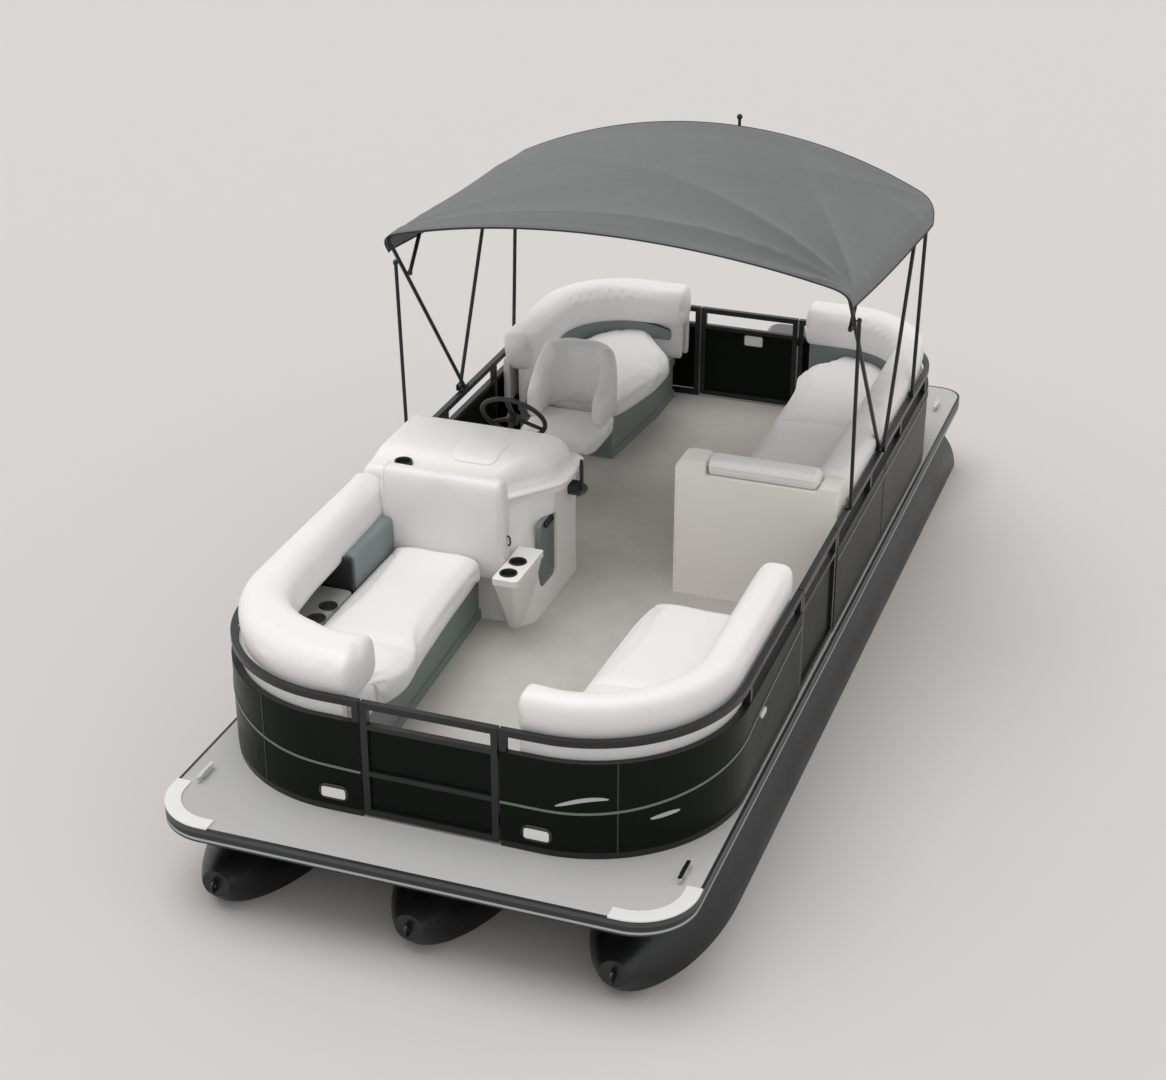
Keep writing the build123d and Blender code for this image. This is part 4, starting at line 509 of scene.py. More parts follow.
def cushion(name, path, half_width, low, high, power, kind="white vinyl", slot=None, body="boat",
            cap=0.05, around=72, crown=0.0, lean=0.0, seams=(), soften=0.0,
            replaces=None, piping=(), hoops=False):
    """Padded run: a rounded box section carried along a path in plan, closed by rounded ends.

    Section: |a/w|^p + |b/h|^p = 1, a outwards and b up. Near each end, w and h shrink by
    (1 - q^c)^(1/c), where q is how far into the cap the section lies. crown lifts the top by
    crown * (1 - (a/w)^2). A seam pulls the surface in by depth * exp(-(distance / 7 mm)^2).
    soften is how far the cloth may swell, and soften 0 makes a rigid board.
    """
    path = np.asarray(path, float)
    reach = reach_along(path)
    total = reach[-1]

    def spread(value):
        if np.ndim(value):
            return np.interp(stations, reach, value)
        return np.full(len(stations), float(value))

    bend = cap * (1 - np.cos(np.linspace(0, np.pi / 2, 13)[1:-1]))
    middle = np.linspace(cap, total - cap, max(6, int((total - 2 * cap) / SECTION_STEP)))
    stations = np.r_[bend, middle, total - bend[::-1]]
    centre = np.stack([spread(path[:, 0]), spread(path[:, 1])], -1)
    outward = normals(np.gradient(centre, stations, axis=0))
    width, low, high = spread(half_width), spread(low), spread(high)
    height = (high - low) / 2
    q = np.clip(np.maximum(cap - stations, stations - total + cap) / cap, 0, 1)
    shrink = (1 - q ** CAP_POWER) ** (1 / CAP_POWER)
    a, b = superellipse(around, float(width.mean()), float(height.mean()), power)
    squeeze = np.zeros(len(stations))
    pinned = np.repeat((b < BASE_HOLD)[None], len(stations), 0)
    for place in seams:
        gap = stations - place * total
        squeeze += sizes().seam_depth * np.exp(-(gap / SEAM_HALF) ** 2)
        pinned |= (np.abs(gap) < SEAM_HOLD)[:, None]
    across = (width * shrink - squeeze)[:, None] * a
    lift = (height * shrink - squeeze)[:, None] * b
    lift += crown * np.maximum(b, 0)[None] * (1 - a[None] ** 2) * shrink[:, None]
    across += lean * lift
    points = np.empty((len(stations), around, 3))
    points[..., :2] = centre[:, None] + outward[:, None] * across[..., None]
    points[..., 2] = ((low + high) / 2)[:, None] + lift
    piece = skin_over(name, points, kind, slot, body)
    full = 2 * np.pi
    rows = [int(np.argmin(np.abs((np.arctan2(b, a) - math.radians(angle) + np.pi) % full - np.pi)))
            for angle in piping]
    pinned[:, rows] = True
    ends = [int(np.argmin(np.abs(stations - place))) for place in (cap, total - cap) if hoops]
    pinned[ends] = True
    if soften:
        plump(piece, np.r_[pinned.reshape(-1), False, False], soften)
    final = points_of(piece.data)[:points.size // 3].reshape(points.shape)
    runs = [(f"{name}_piping_{n}", final[3:-3, row], False) for n, row in enumerate(rows)]
    runs += [(f"{name}_hoop_{n}", final[end], True) for n, end in enumerate(ends)]
    for run, line, closed in runs:
        tube(run, line, sizes().piping_radius, kind, slot, body, closed=closed)
    if replaces:
        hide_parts(replaces)
    return piece


def plump(piece, pinned, limit):
    """Swells a closed cushion as cloth under pressure, with some points pinned.

    No point travels farther than the limit.
    """
    mesh = piece.data
    rest = points_of(mesh)
    group = piece.vertex_groups.new(name="pinned")
    group.add([int(v) for v in np.nonzero(pinned)[0]], 1.0, "REPLACE")
    cloth = piece.modifiers.new("cloth", "CLOTH")
    settings = cloth.settings
    settings.use_pressure = True
    settings.uniform_pressure_force = sizes().pressure
    settings.vertex_group_mass = "pinned"
    settings.effector_weights.gravity = 0.0
    settings.tension_stiffness = 25.0
    settings.bending_stiffness = 2.0
    settings.quality = 3
    cloth.collision_settings.use_collision = False
    cloth.collision_settings.use_self_collision = False
    cloth.point_cache.frame_start = 1
    cloth.point_cache.frame_end = CLOTH_FRAMES
    scene = bpy.context.scene
    for step in range(1, CLOTH_FRAMES + 1):
        scene.frame_set(step)
    shown = piece.evaluated_get(bpy.context.evaluated_depsgraph_get())
    travel = points_of(shown.to_mesh()) - rest
    shown.to_mesh_clear()
    piece.modifiers.remove(cloth)
    piece.vertex_groups.remove(group)
    scene.frame_set(1)
    distance = np.linalg.norm(travel, axis=1)
    travel *= (np.minimum(distance, limit) / np.maximum(distance, 1e-9))[:, None]
    mesh.vertices.foreach_set("co", (rest + travel).reshape(-1))
    mesh.update()


# Stage
FLOOR_HALF = 60.0
WORLD_STRENGTH = 0.68
WORLD_LIGHT = (1.0, 0.985, 0.99, 1.0)
WORLD_SEEN = (0.80, 0.79, 0.78, 1.0)
# Sun lamps: name, power, and spread and aim in degrees
SUNS = [("key", 1.25, 50, (3, -12, 0)), ("fill", 0.12, 70, (35, 20, 0))]
# Camera solved from the photograph: its width and focal length in pixels, place, dip and turn
PHOTO_WIDTH = 1166
FOCAL_PIXELS = 2193.1
CAMERA_PLACE = (3.448, -10.304, 6.218)
CAMERA_DIP = 27.11
CAMERA_TURN = 19.79


class BOAT_OT_stage(bpy.types.Operator):
    """Pale floor at the waterline, soft light and the camera at the photograph's angle."""

    bl_idname = "boat.stage"
    bl_label = "Stage"

    def execute(self, context):
        scene = context.scene
        scene.view_settings.view_transform = "Standard"
        mesh = bpy.data.meshes.new("studio_floor")
        mesh.from_pydata([(x * FLOOR_HALF, y * FLOOR_HALF, 0)
                          for x, y in ((-1, -1), (1, -1), (1, 1), (-1, 1))], [], [(0, 1, 2, 3)])
        floor = bpy.data.objects.new("studio_floor", mesh)
        mesh.materials.append(finish_of("studio floor"))
        scene.collection.objects.link(floor)
        self.world(scene)
        for name, power, spread, aim in SUNS:
            lamp = bpy.data.lights.new(name, "SUN")
            lamp.energy = power
            lamp.angle = math.radians(spread)
            holder = bpy.data.objects.new(name, lamp)
            holder.rotation_euler = [math.radians(a) for a in aim]
            scene.collection.objects.link(holder)
        lens = bpy.data.cameras.new("camera")
        lens.sensor_width = 36.0
        lens.lens = lens.sensor_width * FOCAL_PIXELS / PHOTO_WIDTH
        lens.clip_end = 300.0
        camera = bpy.data.objects.new("camera", lens)
        camera.location = CAMERA_PLACE
        camera.rotation_euler = (math.radians(90 - CAMERA_DIP), 0.0, math.radians(CAMERA_TURN))
        scene.collection.objects.link(camera)
        scene.camera = camera
        return {"FINISHED"}

    def world(self, scene):
        """Soft light all round. The camera and mirrors see a plain backdrop instead of it."""
        world = bpy.data.worlds.new("studio")
        world.use_nodes = True
        scene.world = world
        tree = world.node_tree
        add = node_maker(tree)
        light = tree.nodes["Background"]
        light.inputs["Color"].default_value = WORLD_LIGHT
        light.inputs["Strength"].default_value = WORLD_STRENGTH
        plain = add("Background", "Background", {"Color": WORLD_SEEN})
        seen = add("LightPath", "Is Camera Ray", {})
        rays = seen.node.outputs
        for kind in ("Is Glossy Ray", "Is Transmission Ray"):
            seen = add("Math", "Value", {0: seen, 1: rays[kind]}, operation="ADD", use_clamp=True)
        choice = add("MixShader", "Shader", {"Fac": seen, 1: light.outputs["Background"], 2: plain})
        tree.links.new(choice, tree.nodes["World Output"].inputs["Surface"])


# Hull
HULL_FINISHES = {
    "hull metal with painted shade": "pontoon_port pontoon_starboard pontoon_center cross_members motor_pod",
    "deck weave": "deck", "rub rail": "deck_trim", "white plastic": "bow_castings",
    "polished": "cleats", "lens": "docking_lights",
}


class BOAT_OT_hull(bpy.types.Operator):
    """Finishes of the tubes, deck, edge trim and deck fittings."""

    bl_idname = "boat.hull"
    bl_label = "Hull and deck"

    def execute(self, context):
        paint(HULL_FINISHES)
        return {"FINISHED"}


# Fence
FENCE_FINISHES = {
    "powder coat": "fence_frame_starboard fence_frame_port_bow fence_frame_port_stern "
                   "bow_gate_frame side_gate_frame stern_gate_frame",
    "gloss skin": "fence_skin_starboard fence_skin_port_bow fence_skin_port_stern "
                  "bow_gate_skin side_gate_skin stern_gate_skin",
}
# How far outside the fence's plan the strips and the skins' joints lie, as insets
STRIP_INSET = -0.0035
JOINT_INSET = -0.0032
STRIP_THICK = 0.003
# Accent lines: name, start and end of the stretch of fence, and its height above the deck at
# shares of the stretch
ACCENTS = [
    ("accent_port_bow", (0.345, FENCE_FRONT), (FENCE_HALF, -1.075),
     ((0, 0.238), (0.2, 0.240), (0.45, 0.30), (0.7, 0.37), (1, 0.42))),
    ("accent_port_stern", (FENCE_HALF, -0.350), (0.335, FENCE_REAR), ((0, 0.43), (1, 0.43))),
    ("accent_starboard", (-0.335, FENCE_REAR), (-0.345, FENCE_FRONT),
     ((0, 0.43), (0.62, 0.43), (0.83, 0.36), (0.93, 0.26), (1, 0.238))),
]
ACCENT_HALF = 0.006
# Short curved strips on the bow: name, start, end, and the heights that the curve spans
SWEEPS = [
    ("sweep_port_upper", (0.60, FENCE_FRONT), (0.83, FENCE_FRONT + 0.06), 0.275, 0.325),
    ("sweep_port_lower", (0.99, FENCE_FRONT + 0.16), (1.10, FENCE_FRONT + 0.26), 0.195, 0.205),
]
# Centres of the front lamps, and places of the skins' upright joints
LAMPS = [(-0.480, DECK + 0.105), (0.515, DECK + 0.105)]
JOINTS = [(0.865, FENCE_FRONT + 0.08), (-0.865, FENCE_FRONT + 0.08), (FENCE_HALF, 0.75),
          (-FENCE_HALF, 0.75), (-FENCE_HALF, -0.95)]
SKIN_LOW = DECK + 0.034
SKIN_HIGH = DECK + 0.499
PLATE_PLACE = (0.03, DECK + 0.425)
PLATE_FACE = FENCE_REAR - 0.0172


class BOAT_OT_fence(bpy.types.Operator):
    """Finishes of the fence and gates, with their accent lines, joints, bezels and plate."""

    bl_idname = "boat.fence"
    bl_label = "Fence"

    def execute(self, context):
        paint(FENCE_FINISHES)
        for name, start, end, heights in ACCENTS:
            line = fence_stretch(STRIP_INSET, start, end)
            middle = smoothed(DECK + look_up(heights, shares(line)), 20)
            self.strip(name, line, middle - ACCENT_HALF, middle + ACCENT_HALF, STRIP_THICK,
                       "dull strip")
        for name, start, end, low, high in SWEEPS:
            line = fence_stretch(STRIP_INSET, start, end, 0.004)
            share = shares(line)
            half = 0.013 * np.sqrt(np.clip(1 - (2 * share - 1) ** 2, 0, 1)) + 0.0005
            middle = DECK + low + (high - low) * np.sin(share * np.pi * 0.62)
            self.strip(name, line, middle - half, middle + half * 0.6, STRIP_THICK, "silver line")
        whole = fence_line(JOINT_INSET, 0.004)
        for number, place in enumerate(JOINTS):
            index = nearest(whole, place)
            line = whole[np.arange(index - 1, index + 2) % len(whole)]
            self.strip(f"skin_joint_{number}", line, SKIN_LOW, SKIN_HIGH, 0.0016, "black plastic")
        for number, (x, z) in enumerate(LAMPS):
            ring = rectangle((x - 0.068, z - 0.034), (x + 0.068, z + 0.034), 0.03, 0.006)
            tube(f"lamp_bezel_{number}", in_space(ring, 1, FENCE_FRONT - 0.005), 0.0075,
                 "black plastic", around=10, closed=True)
        self.plate("gate_plate_border", 0.066, 0.040, 0.004, "black plastic")
        self.plate("gate_plate", 0.060, 0.034, 0.006, "white plastic")
        return {"FINISHED"}

    def strip(self, name, line, low, high, thick, kind):
        """Flat strip along the fence: each section is a thin rectangle standing on its edge."""
        outward = normals(np.gradient(line, axis=0))
        corners = ((0, low), (thick, low), (thick, high), (0, high))
        rings = np.empty((len(line), 4, 3))
        for corner, (reach, height) in enumerate(corners):
            rings[:, corner, :2] = line + outward * reach
            rings[:, corner, 2] = height
        skin_over(name, rings, kind, "bright_metal", smooth=False)

    def plate(self, name, half_wide, half_tall, reach, kind):
        """Blank plate on the inside of the stern gate, with its edges rounded off."""
        ring = rectangle((-half_wide, -half_tall), (half_wide, half_tall), 0.012, 0.004)
        steps = ((1, 0), (1, reach * 0.6), (0.985, reach * 0.9), (0.95, reach), (0.5, reach))
        rings = [in_space(ring * share + PLATE_PLACE, 1, PLATE_FACE - out) for share, out in steps]
        skin_over(name, rings, kind, "white_plastic", "stern_gate")


# Lounges
LOUNGE_FINISHES = {
    "seat base": "bow_lounge_starboard_base bow_lounge_port_base stern_lounge_port_base "
                 "stern_lounge_starboard_base",
    "cream panel": "cabinet",
}
SHELL = 0.044
SEAT_LOW = DECK + 0.3005
SEAT_HIGH = DECK + 0.450
ROLL_LOW = DECK + 0.525
ROLL_HIGH = DECK + 0.780
# Half width of a roll that is even along its run
EVEN = ((0, 0.0875), (1, 0.0875))
# Back rests: name, start and end in plan, half widths of the roll along the run, the roll's seams,
# and the finish of the panel below it
BACKS = [
    ("bow_lounge_starboard_back", (-FENCE_HALF, -0.851), (-0.405, FENCE_FRONT),
     ((0, 0.088), (0.38, 0.100), (0.60, 0.125), (0.80, 0.165), (1, 0.172)), (), None),
    ("bow_lounge_port_back", (0.402, FENCE_FRONT), (FENCE_HALF, -1.099), EVEN, (), "accent vinyl"),
    ("stern_lounge_port_back", (FENCE_HALF, -0.038), (0.402, FENCE_REAR), EVEN, (0.33, 0.66),
     "accent vinyl"),
    ("stern_lounge_starboard_back", (-0.372, FENCE_REAR), (-FENCE_HALF, 1.232), EVEN, (),
     "white vinyl"),
]
# Seats: name, side, start and end along the boat, aisle edge as (y, distance from the middle),
# inset of the edge at the back rest, seams and length of the rounded ends
SEATS = [
    ("bow_lounge_starboard_seat", -1, -2.444, -0.9695,
     ((-2.45, 0.380), (-2.2, 0.368), (-1.95, 0.405), (-1.5, 0.44), (-0.97, 0.462)),
     0.315, (0.345,), 0.06),
    ("bow_lounge_port_seat", 1, -2.545, -1.101,
     ((-2.55, 0.41), (-2.4, 0.455), (-1.3, 0.495), (-1.10, 0.53)), 0.200, (0.42,), 0.07),
    ("stern_lounge_port_seat", 1, -0.036, 2.245,
     ((-0.04, 0.475), (0.7, 0.49), (1.7, 0.49), (1.9, 0.475), (2.15, 0.405), (2.3, 0.40)),
     0.200, (0.27, 0.54), 0.06),
    ("stern_lounge_starboard_seat", -1, 1.236, 2.245,
     ((1.23, 0.50), (1.35, 0.45), (1.7, 0.38), (2.0, 0.372), (2.3, 0.372)),
     0.200, (0.48,), 0.06),
]
# Stern panel below the roll: its ends in plan
LENS_ENDS = ((-0.48, FENCE_REAR), (-FENCE_HALF, 1.62))
# Cabinet: its front seams, and its door on the aft side
CABINET_SEAMS = (0.345, 1.215)
CABINET_FRONT = -0.2055
CABINET_AFT = -0.0385


def set_in(start, end, widths):
    """Path and half widths of a roll whose outer face keeps to the shell.

    widths is a table of (share of the run, half width). Each point moves inwards by its half width.
    """
    outer = fence_stretch(SHELL, start, end)
    half = look_up(widths, shares(outer))
    return outer - half[:, None] * normals(np.gradient(outer, axis=0)), half


def side_x(y, inset):
    """Half width of the fence's plan, set in, at places along the boat.

    Along the straight sides it is the same; past a corner's centre it follows the corner's circle.
    """
    half = FENCE_HALF - inset
    x = np.full(y.shape, half)
    for past, radius in ((FENCE_FRONT + BOW_RADIUS - y, BOW_RADIUS - inset),
                         (y - FENCE_REAR + STERN_RADIUS, STERN_RADIUS - inset)):
        curve = half - radius + np.sqrt(np.maximum(radius ** 2 - past ** 2, 0))
        x = np.where(past > 0, curve, x)
    return x


def seat(name, side, start, end, inner, inset, seams, cap):
    """Seat cushion between the back rest and the aisle, from start to end along the boat.

    The path is the line midway between the aisle edge and the back rest, and the half width is
    half of their distance.
    """
    y = np.linspace(start, end, 120)
    edge = smoothed(look_up(inner, y), 6)
    outer = np.maximum(side_x(y, inset), edge + 0.05)
    path = np.stack([side * (outer + edge) / 2, y], -1)
    cushion(f"{name}_pad", path, (outer - edge) / 2, SEAT_LOW, SEAT_HIGH, 5.5, cap=cap,
            crown=sizes().seat_crown, around=116, soften=0.012, seams=seams, replaces=name,
            piping=(SEAT_PIPING,))


def cup_holder(name, x, y, z, floor=-0.0565):
    """Black cup holder: a rim that rolls over the hole's edge, and a well down to its floor."""
    profile = [(0.001, floor), (0.030, floor), (0.0345, floor + 0.0003),
               (0.0365, max(floor, -0.004) + 0.0005), (0.0385, 0.0045), (0.043, 0.0060),
               (0.0470, 0.0045), (0.0480, 0.0004), (0.0376, min(-0.001, floor - 0.001)),
               (0.0376, floor - 0.0020), (0.001, floor - 0.0025)]
    angle = np.linspace(0, 2 * np.pi, 48, endpoint=False)
    circle = np.stack([np.cos(angle), np.sin(angle)], -1)
    rings = [in_space((x, y) + radius * circle, 2, z + height) for radius, height in profile]
    skin_over(name, rings, "dark hole", "black_plastic")


class BOAT_OT_lounges(bpy.types.Operator):
    """Seats, rolled backs and bases of the four lounges, and the cabinet with its arm pad."""

    bl_idname = "boat.lounges"
    bl_label = "Lounges"

    def execute(self, context):
        paint(LOUNGE_FINISHES)
        for name, start, end, widths, seams, panel in BACKS:
            line, half = set_in(start, end, widths)
            cushion(f"{name}_roll", line, half, ROLL_LOW, ROLL_HIGH, 3.3, lean=0.12, seams=seams,
                    soften=0.008, replaces=name)
            shell = fence_stretch(SHELL + 0.014, start, end)[2:-2]
            cushion(f"{name}_shell", shell, 0.020, SEAT_LOW, ROLL_LOW + 0.06, 9.0, cap=0.012,
                    around=40)
            if panel:
                board = fence_stretch(SHELL + 0.112, start, end)[3:-3]
                cushion(f"{name}_panel", board, 0.022, SEAT_LOW, ROLL_LOW + 0.05, 6.0, panel,
                        "accent_vinyl", cap=0.015, around=40)
        self.bow_shelf()
        self.stern_lens()
        for row in SEATS:
            seat(*row)
        cushion("cabinet_arm_pad", [(0.503, -0.1225), (1.107, -0.1225)], 0.070, DECK + 0.7205,
                DECK + 0.808, 3.6, cap=0.035, around=56, crown=0.006, soften=0.006,
                replaces="cabinet_arm", piping=(SEAT_PIPING, 180 - SEAT_PIPING))
        self.cabinet_trim()
        return {"FINISHED"}

    def bow_shelf(self):
        """Wall beside the bow seat: an accent panel, an upright, and a tray with cup holders."""
        top = ROLL_LOW + 0.07
        wall = fence_stretch(0.195, (-FENCE_HALF, -0.975), (-FENCE_HALF, -1.455))
        cushion("bow_side_panel", wall, 0.108, SEAT_LOW, top, 9.0, "accent vinyl", cap=0.010,
                around=56)
        post = fence_stretch(0.195, (-FENCE_HALF, -1.458), (-FENCE_HALF, -1.490))
        cushion("bow_side_post", post, 0.110, SEAT_LOW, top, 9.0, "black plastic", cap=0.008,
                around=48)
        tray = fence_stretch(0.198, (-FENCE_HALF, -1.492), (-0.60, FENCE_FRONT))
        cushion("bow_side_tray", tray, 0.108, SEAT_LOW, DECK + 0.426, 9.0, "shelf tray",
                "white_plastic", cap=0.012, around=56)
        for number, y in enumerate((-1.690, -1.825)):
            cup_holder(f"bow_cup_{number}", -1.005, y, DECK + 0.4265, floor=0.0012)

    def stern_lens(self):
        """Accent panel under the stern roll, edged with dark piping.

        Its top edge is an arch: DECK + 0.445 + 0.105 sin(share * pi)^0.3.
        """
        line = fence_stretch(SHELL + 0.140, *LENS_ENDS)
        share = np.linspace(0.03, 0.97, len(line))
        arch = DECK + 0.445 + 0.105 * np.sin(share * np.pi) ** 0.3
        cushion("stern_lens", line, 0.012, DECK + 0.425, arch, 5.0, "accent vinyl", cap=0.02,
                around=40)
        edge = fence_stretch(SHELL + 0.152, *LENS_ENDS)
        rim = in_space(edge, 2, np.interp(shares(edge), shares(line), arch))
        tube("stern_lens_piping", resample(rim, 0.012), 0.0035, "webbing", "black_plastic")

    def cabinet_trim(self):
        """Upright seams on the cabinet's front, and the raised edge of its door."""
        for number, x in enumerate(CABINET_SEAMS):
            path = [(x, CABINET_FRONT, DECK + 0.02), (x, CABINET_FRONT, DECK + 0.70)]
            tube(f"cabinet_seam_{number}", resample(path, 0.02), 0.0025, "cream panel",
                 "white_plastic")
        ring = rectangle((0.40, DECK + 0.10), (1.16, DECK + 0.66), 0.03, 0.012)
        tube("cabinet_door_edge", in_space(ring, 1, CABINET_AFT), 0.003, "cream panel",
             "white_plastic", closed=True)


# Helm
HELM_FINISHES = {
    "gelcoat": "console_body", "black plastic": "steering_wheel throttle chair_mount",
    "polished": "helm_pedestal",
}
# Dash in plan, and the foot of the dome that stands on it: x, y and corner radius
DASH_PLAN = [(-1.215, -0.836, 0.03), (-0.500, -0.836, 0.07), (-0.205, -0.461, 0.16),
             (-0.205, -0.100, 0.09), (-1.215, -0.100, 0.03)]
DOME_PLAN = [(-1.212, -0.834, 0.04), (-0.540, -0.834, 0.10), (-0.268, -0.470, 0.20),
             (-0.262, -0.102, 0.10), (-1.212, -0.102, 0.04)]
DOME_MIDDLE = np.array([-0.72, -0.42])
DOME_FOOT = DECK + 0.6935
DOME_EDGE = 0.060
DOME_POWER = 2.4
# Stepped lip of the dash: how far it stands out of the plan, and height above the deck
DASH_LIP = [(-0.010, 0.6705), (0.006, 0.6705), (0.0115, 0.673), (0.0135, 0.679),
            (0.0120, 0.6865), (0.006, 0.6915), (-0.001, 0.6925), (-0.003, 0.6935)]
# Height of the dome along the boat and across it: place, height above the deck
DOME_LONG = [(-0.84, 0.788), (-0.76, 0.793), (-0.71, 0.802), (-0.62, 0.846), (-0.56, 0.858),
             (-0.26, 0.858), (-0.212, 0.842), (-0.10, 0.690)]
DOME_CROSS = [(-1.22, 0.800), (-1.16, 0.852), (-1.05, 0.866), (-0.50, 0.872), (-0.40, 0.862),
              (-0.34, 0.835), (-0.29, 0.790), (-0.262, 0.760)]
DASH_CUP = (-1.000, -0.745)
# Lid on the dash: share of its plan, and lift above the dome
LID_STEPS = [(0.98, -0.004), (1.0, 0.0), (1.0, 0.005), (0.985, 0.0085), (0.95, 0.010),
             (0.8, 0.011), (0.6, 0.0115), (0.4, 0.012), (0.2, 0.012), (0.05, 0.012)]
# Gauges: places across the dash, lean of their face, and (radius, distance out) of bezel and face
GAUGES = (-1.03, -0.93, -0.35)
GAUGE_LEAN = math.radians(35)
GAUGE_BEZEL = [(0.030, -0.004), (0.034, 0.008), (0.033, 0.012), (0.030, 0.012), (0.0285, 0.009)]
GAUGE_FACE = [(0.028, 0.004), (0.028, 0.0100), (0.020, 0.0106), (0.008, 0.0110)]
# Side recess of the console: its corners in y and z, and (share of its outline, x) of the lining
# and of the latch in it
RECESS = ((-0.6575, DECK + 0.1425), (-0.4625, DECK + 0.5175))
RECESS_STEPS = [(0.4, -0.2895), (0.9, -0.2895), (0.985, -0.2892), (0.999, -0.286),
                (0.999, -0.258), (0.985, -0.258), (0.975, -0.284), (0.95, -0.2870),
                (0.4, -0.2872)]
LATCH = ((-0.620, DECK + 0.480), (-0.500, DECK + 0.512))
LATCH_STEPS = [(0.9, -0.262), (1, -0.258), (1, -0.2455), (0.93, -0.2425), (0.8, -0.2425),
               (0.72, -0.2475), (0.2, -0.2480)]
# Hook between the console and the back rest ahead of it
BACK_HOOK = [(-0.348, -0.905, DECK + 0.500), (-0.338, -0.905, DECK + 0.505),
             (-0.334, -0.906, DECK + 0.520), (-0.335, -0.908, DECK + 0.548),
             (-0.340, -0.912, DECK + 0.558), (-0.349, -0.914, DECK + 0.560)]
# Wall of the chair's back in plan, and where its wings end
CHAIR_PLAN = [(-0.845, 0.40, 0.02), (-0.435, 0.40, 0.02), (-0.435, 1.07, 0.17),
              (-0.845, 1.07, 0.17)]
CHAIR_WINGS = 0.735


def dome_height(x, y):
    """Height of the dash: the smaller of the profile along the boat and that across it.

    Both are tables of points, smoothed by a running mean 50 mm wide, and the smaller of the two is
    softened by (a + b - sqrt((a - b)^2 + 0.02^2)) / 2. The cup holder's well is 55 mm deep.
    """
    def profile(table, place):
        fine = np.linspace(table[0][0], table[-1][0], 600)
        reach = int(0.05 / (fine[1] - fine[0])) // 2
        return np.interp(place, fine, smoothed(look_up(table, fine), reach))

    along, over = profile(DOME_LONG, y), profile(DOME_CROSS, x)
    height = (along + over - np.sqrt((along - over) ** 2 + 0.02 ** 2)) / 2
    gap = np.hypot(x - DASH_CUP[0], y - DASH_CUP[1])
    return DECK + height - 0.055 * np.clip((0.046 - gap) / 0.008, 0, 1)


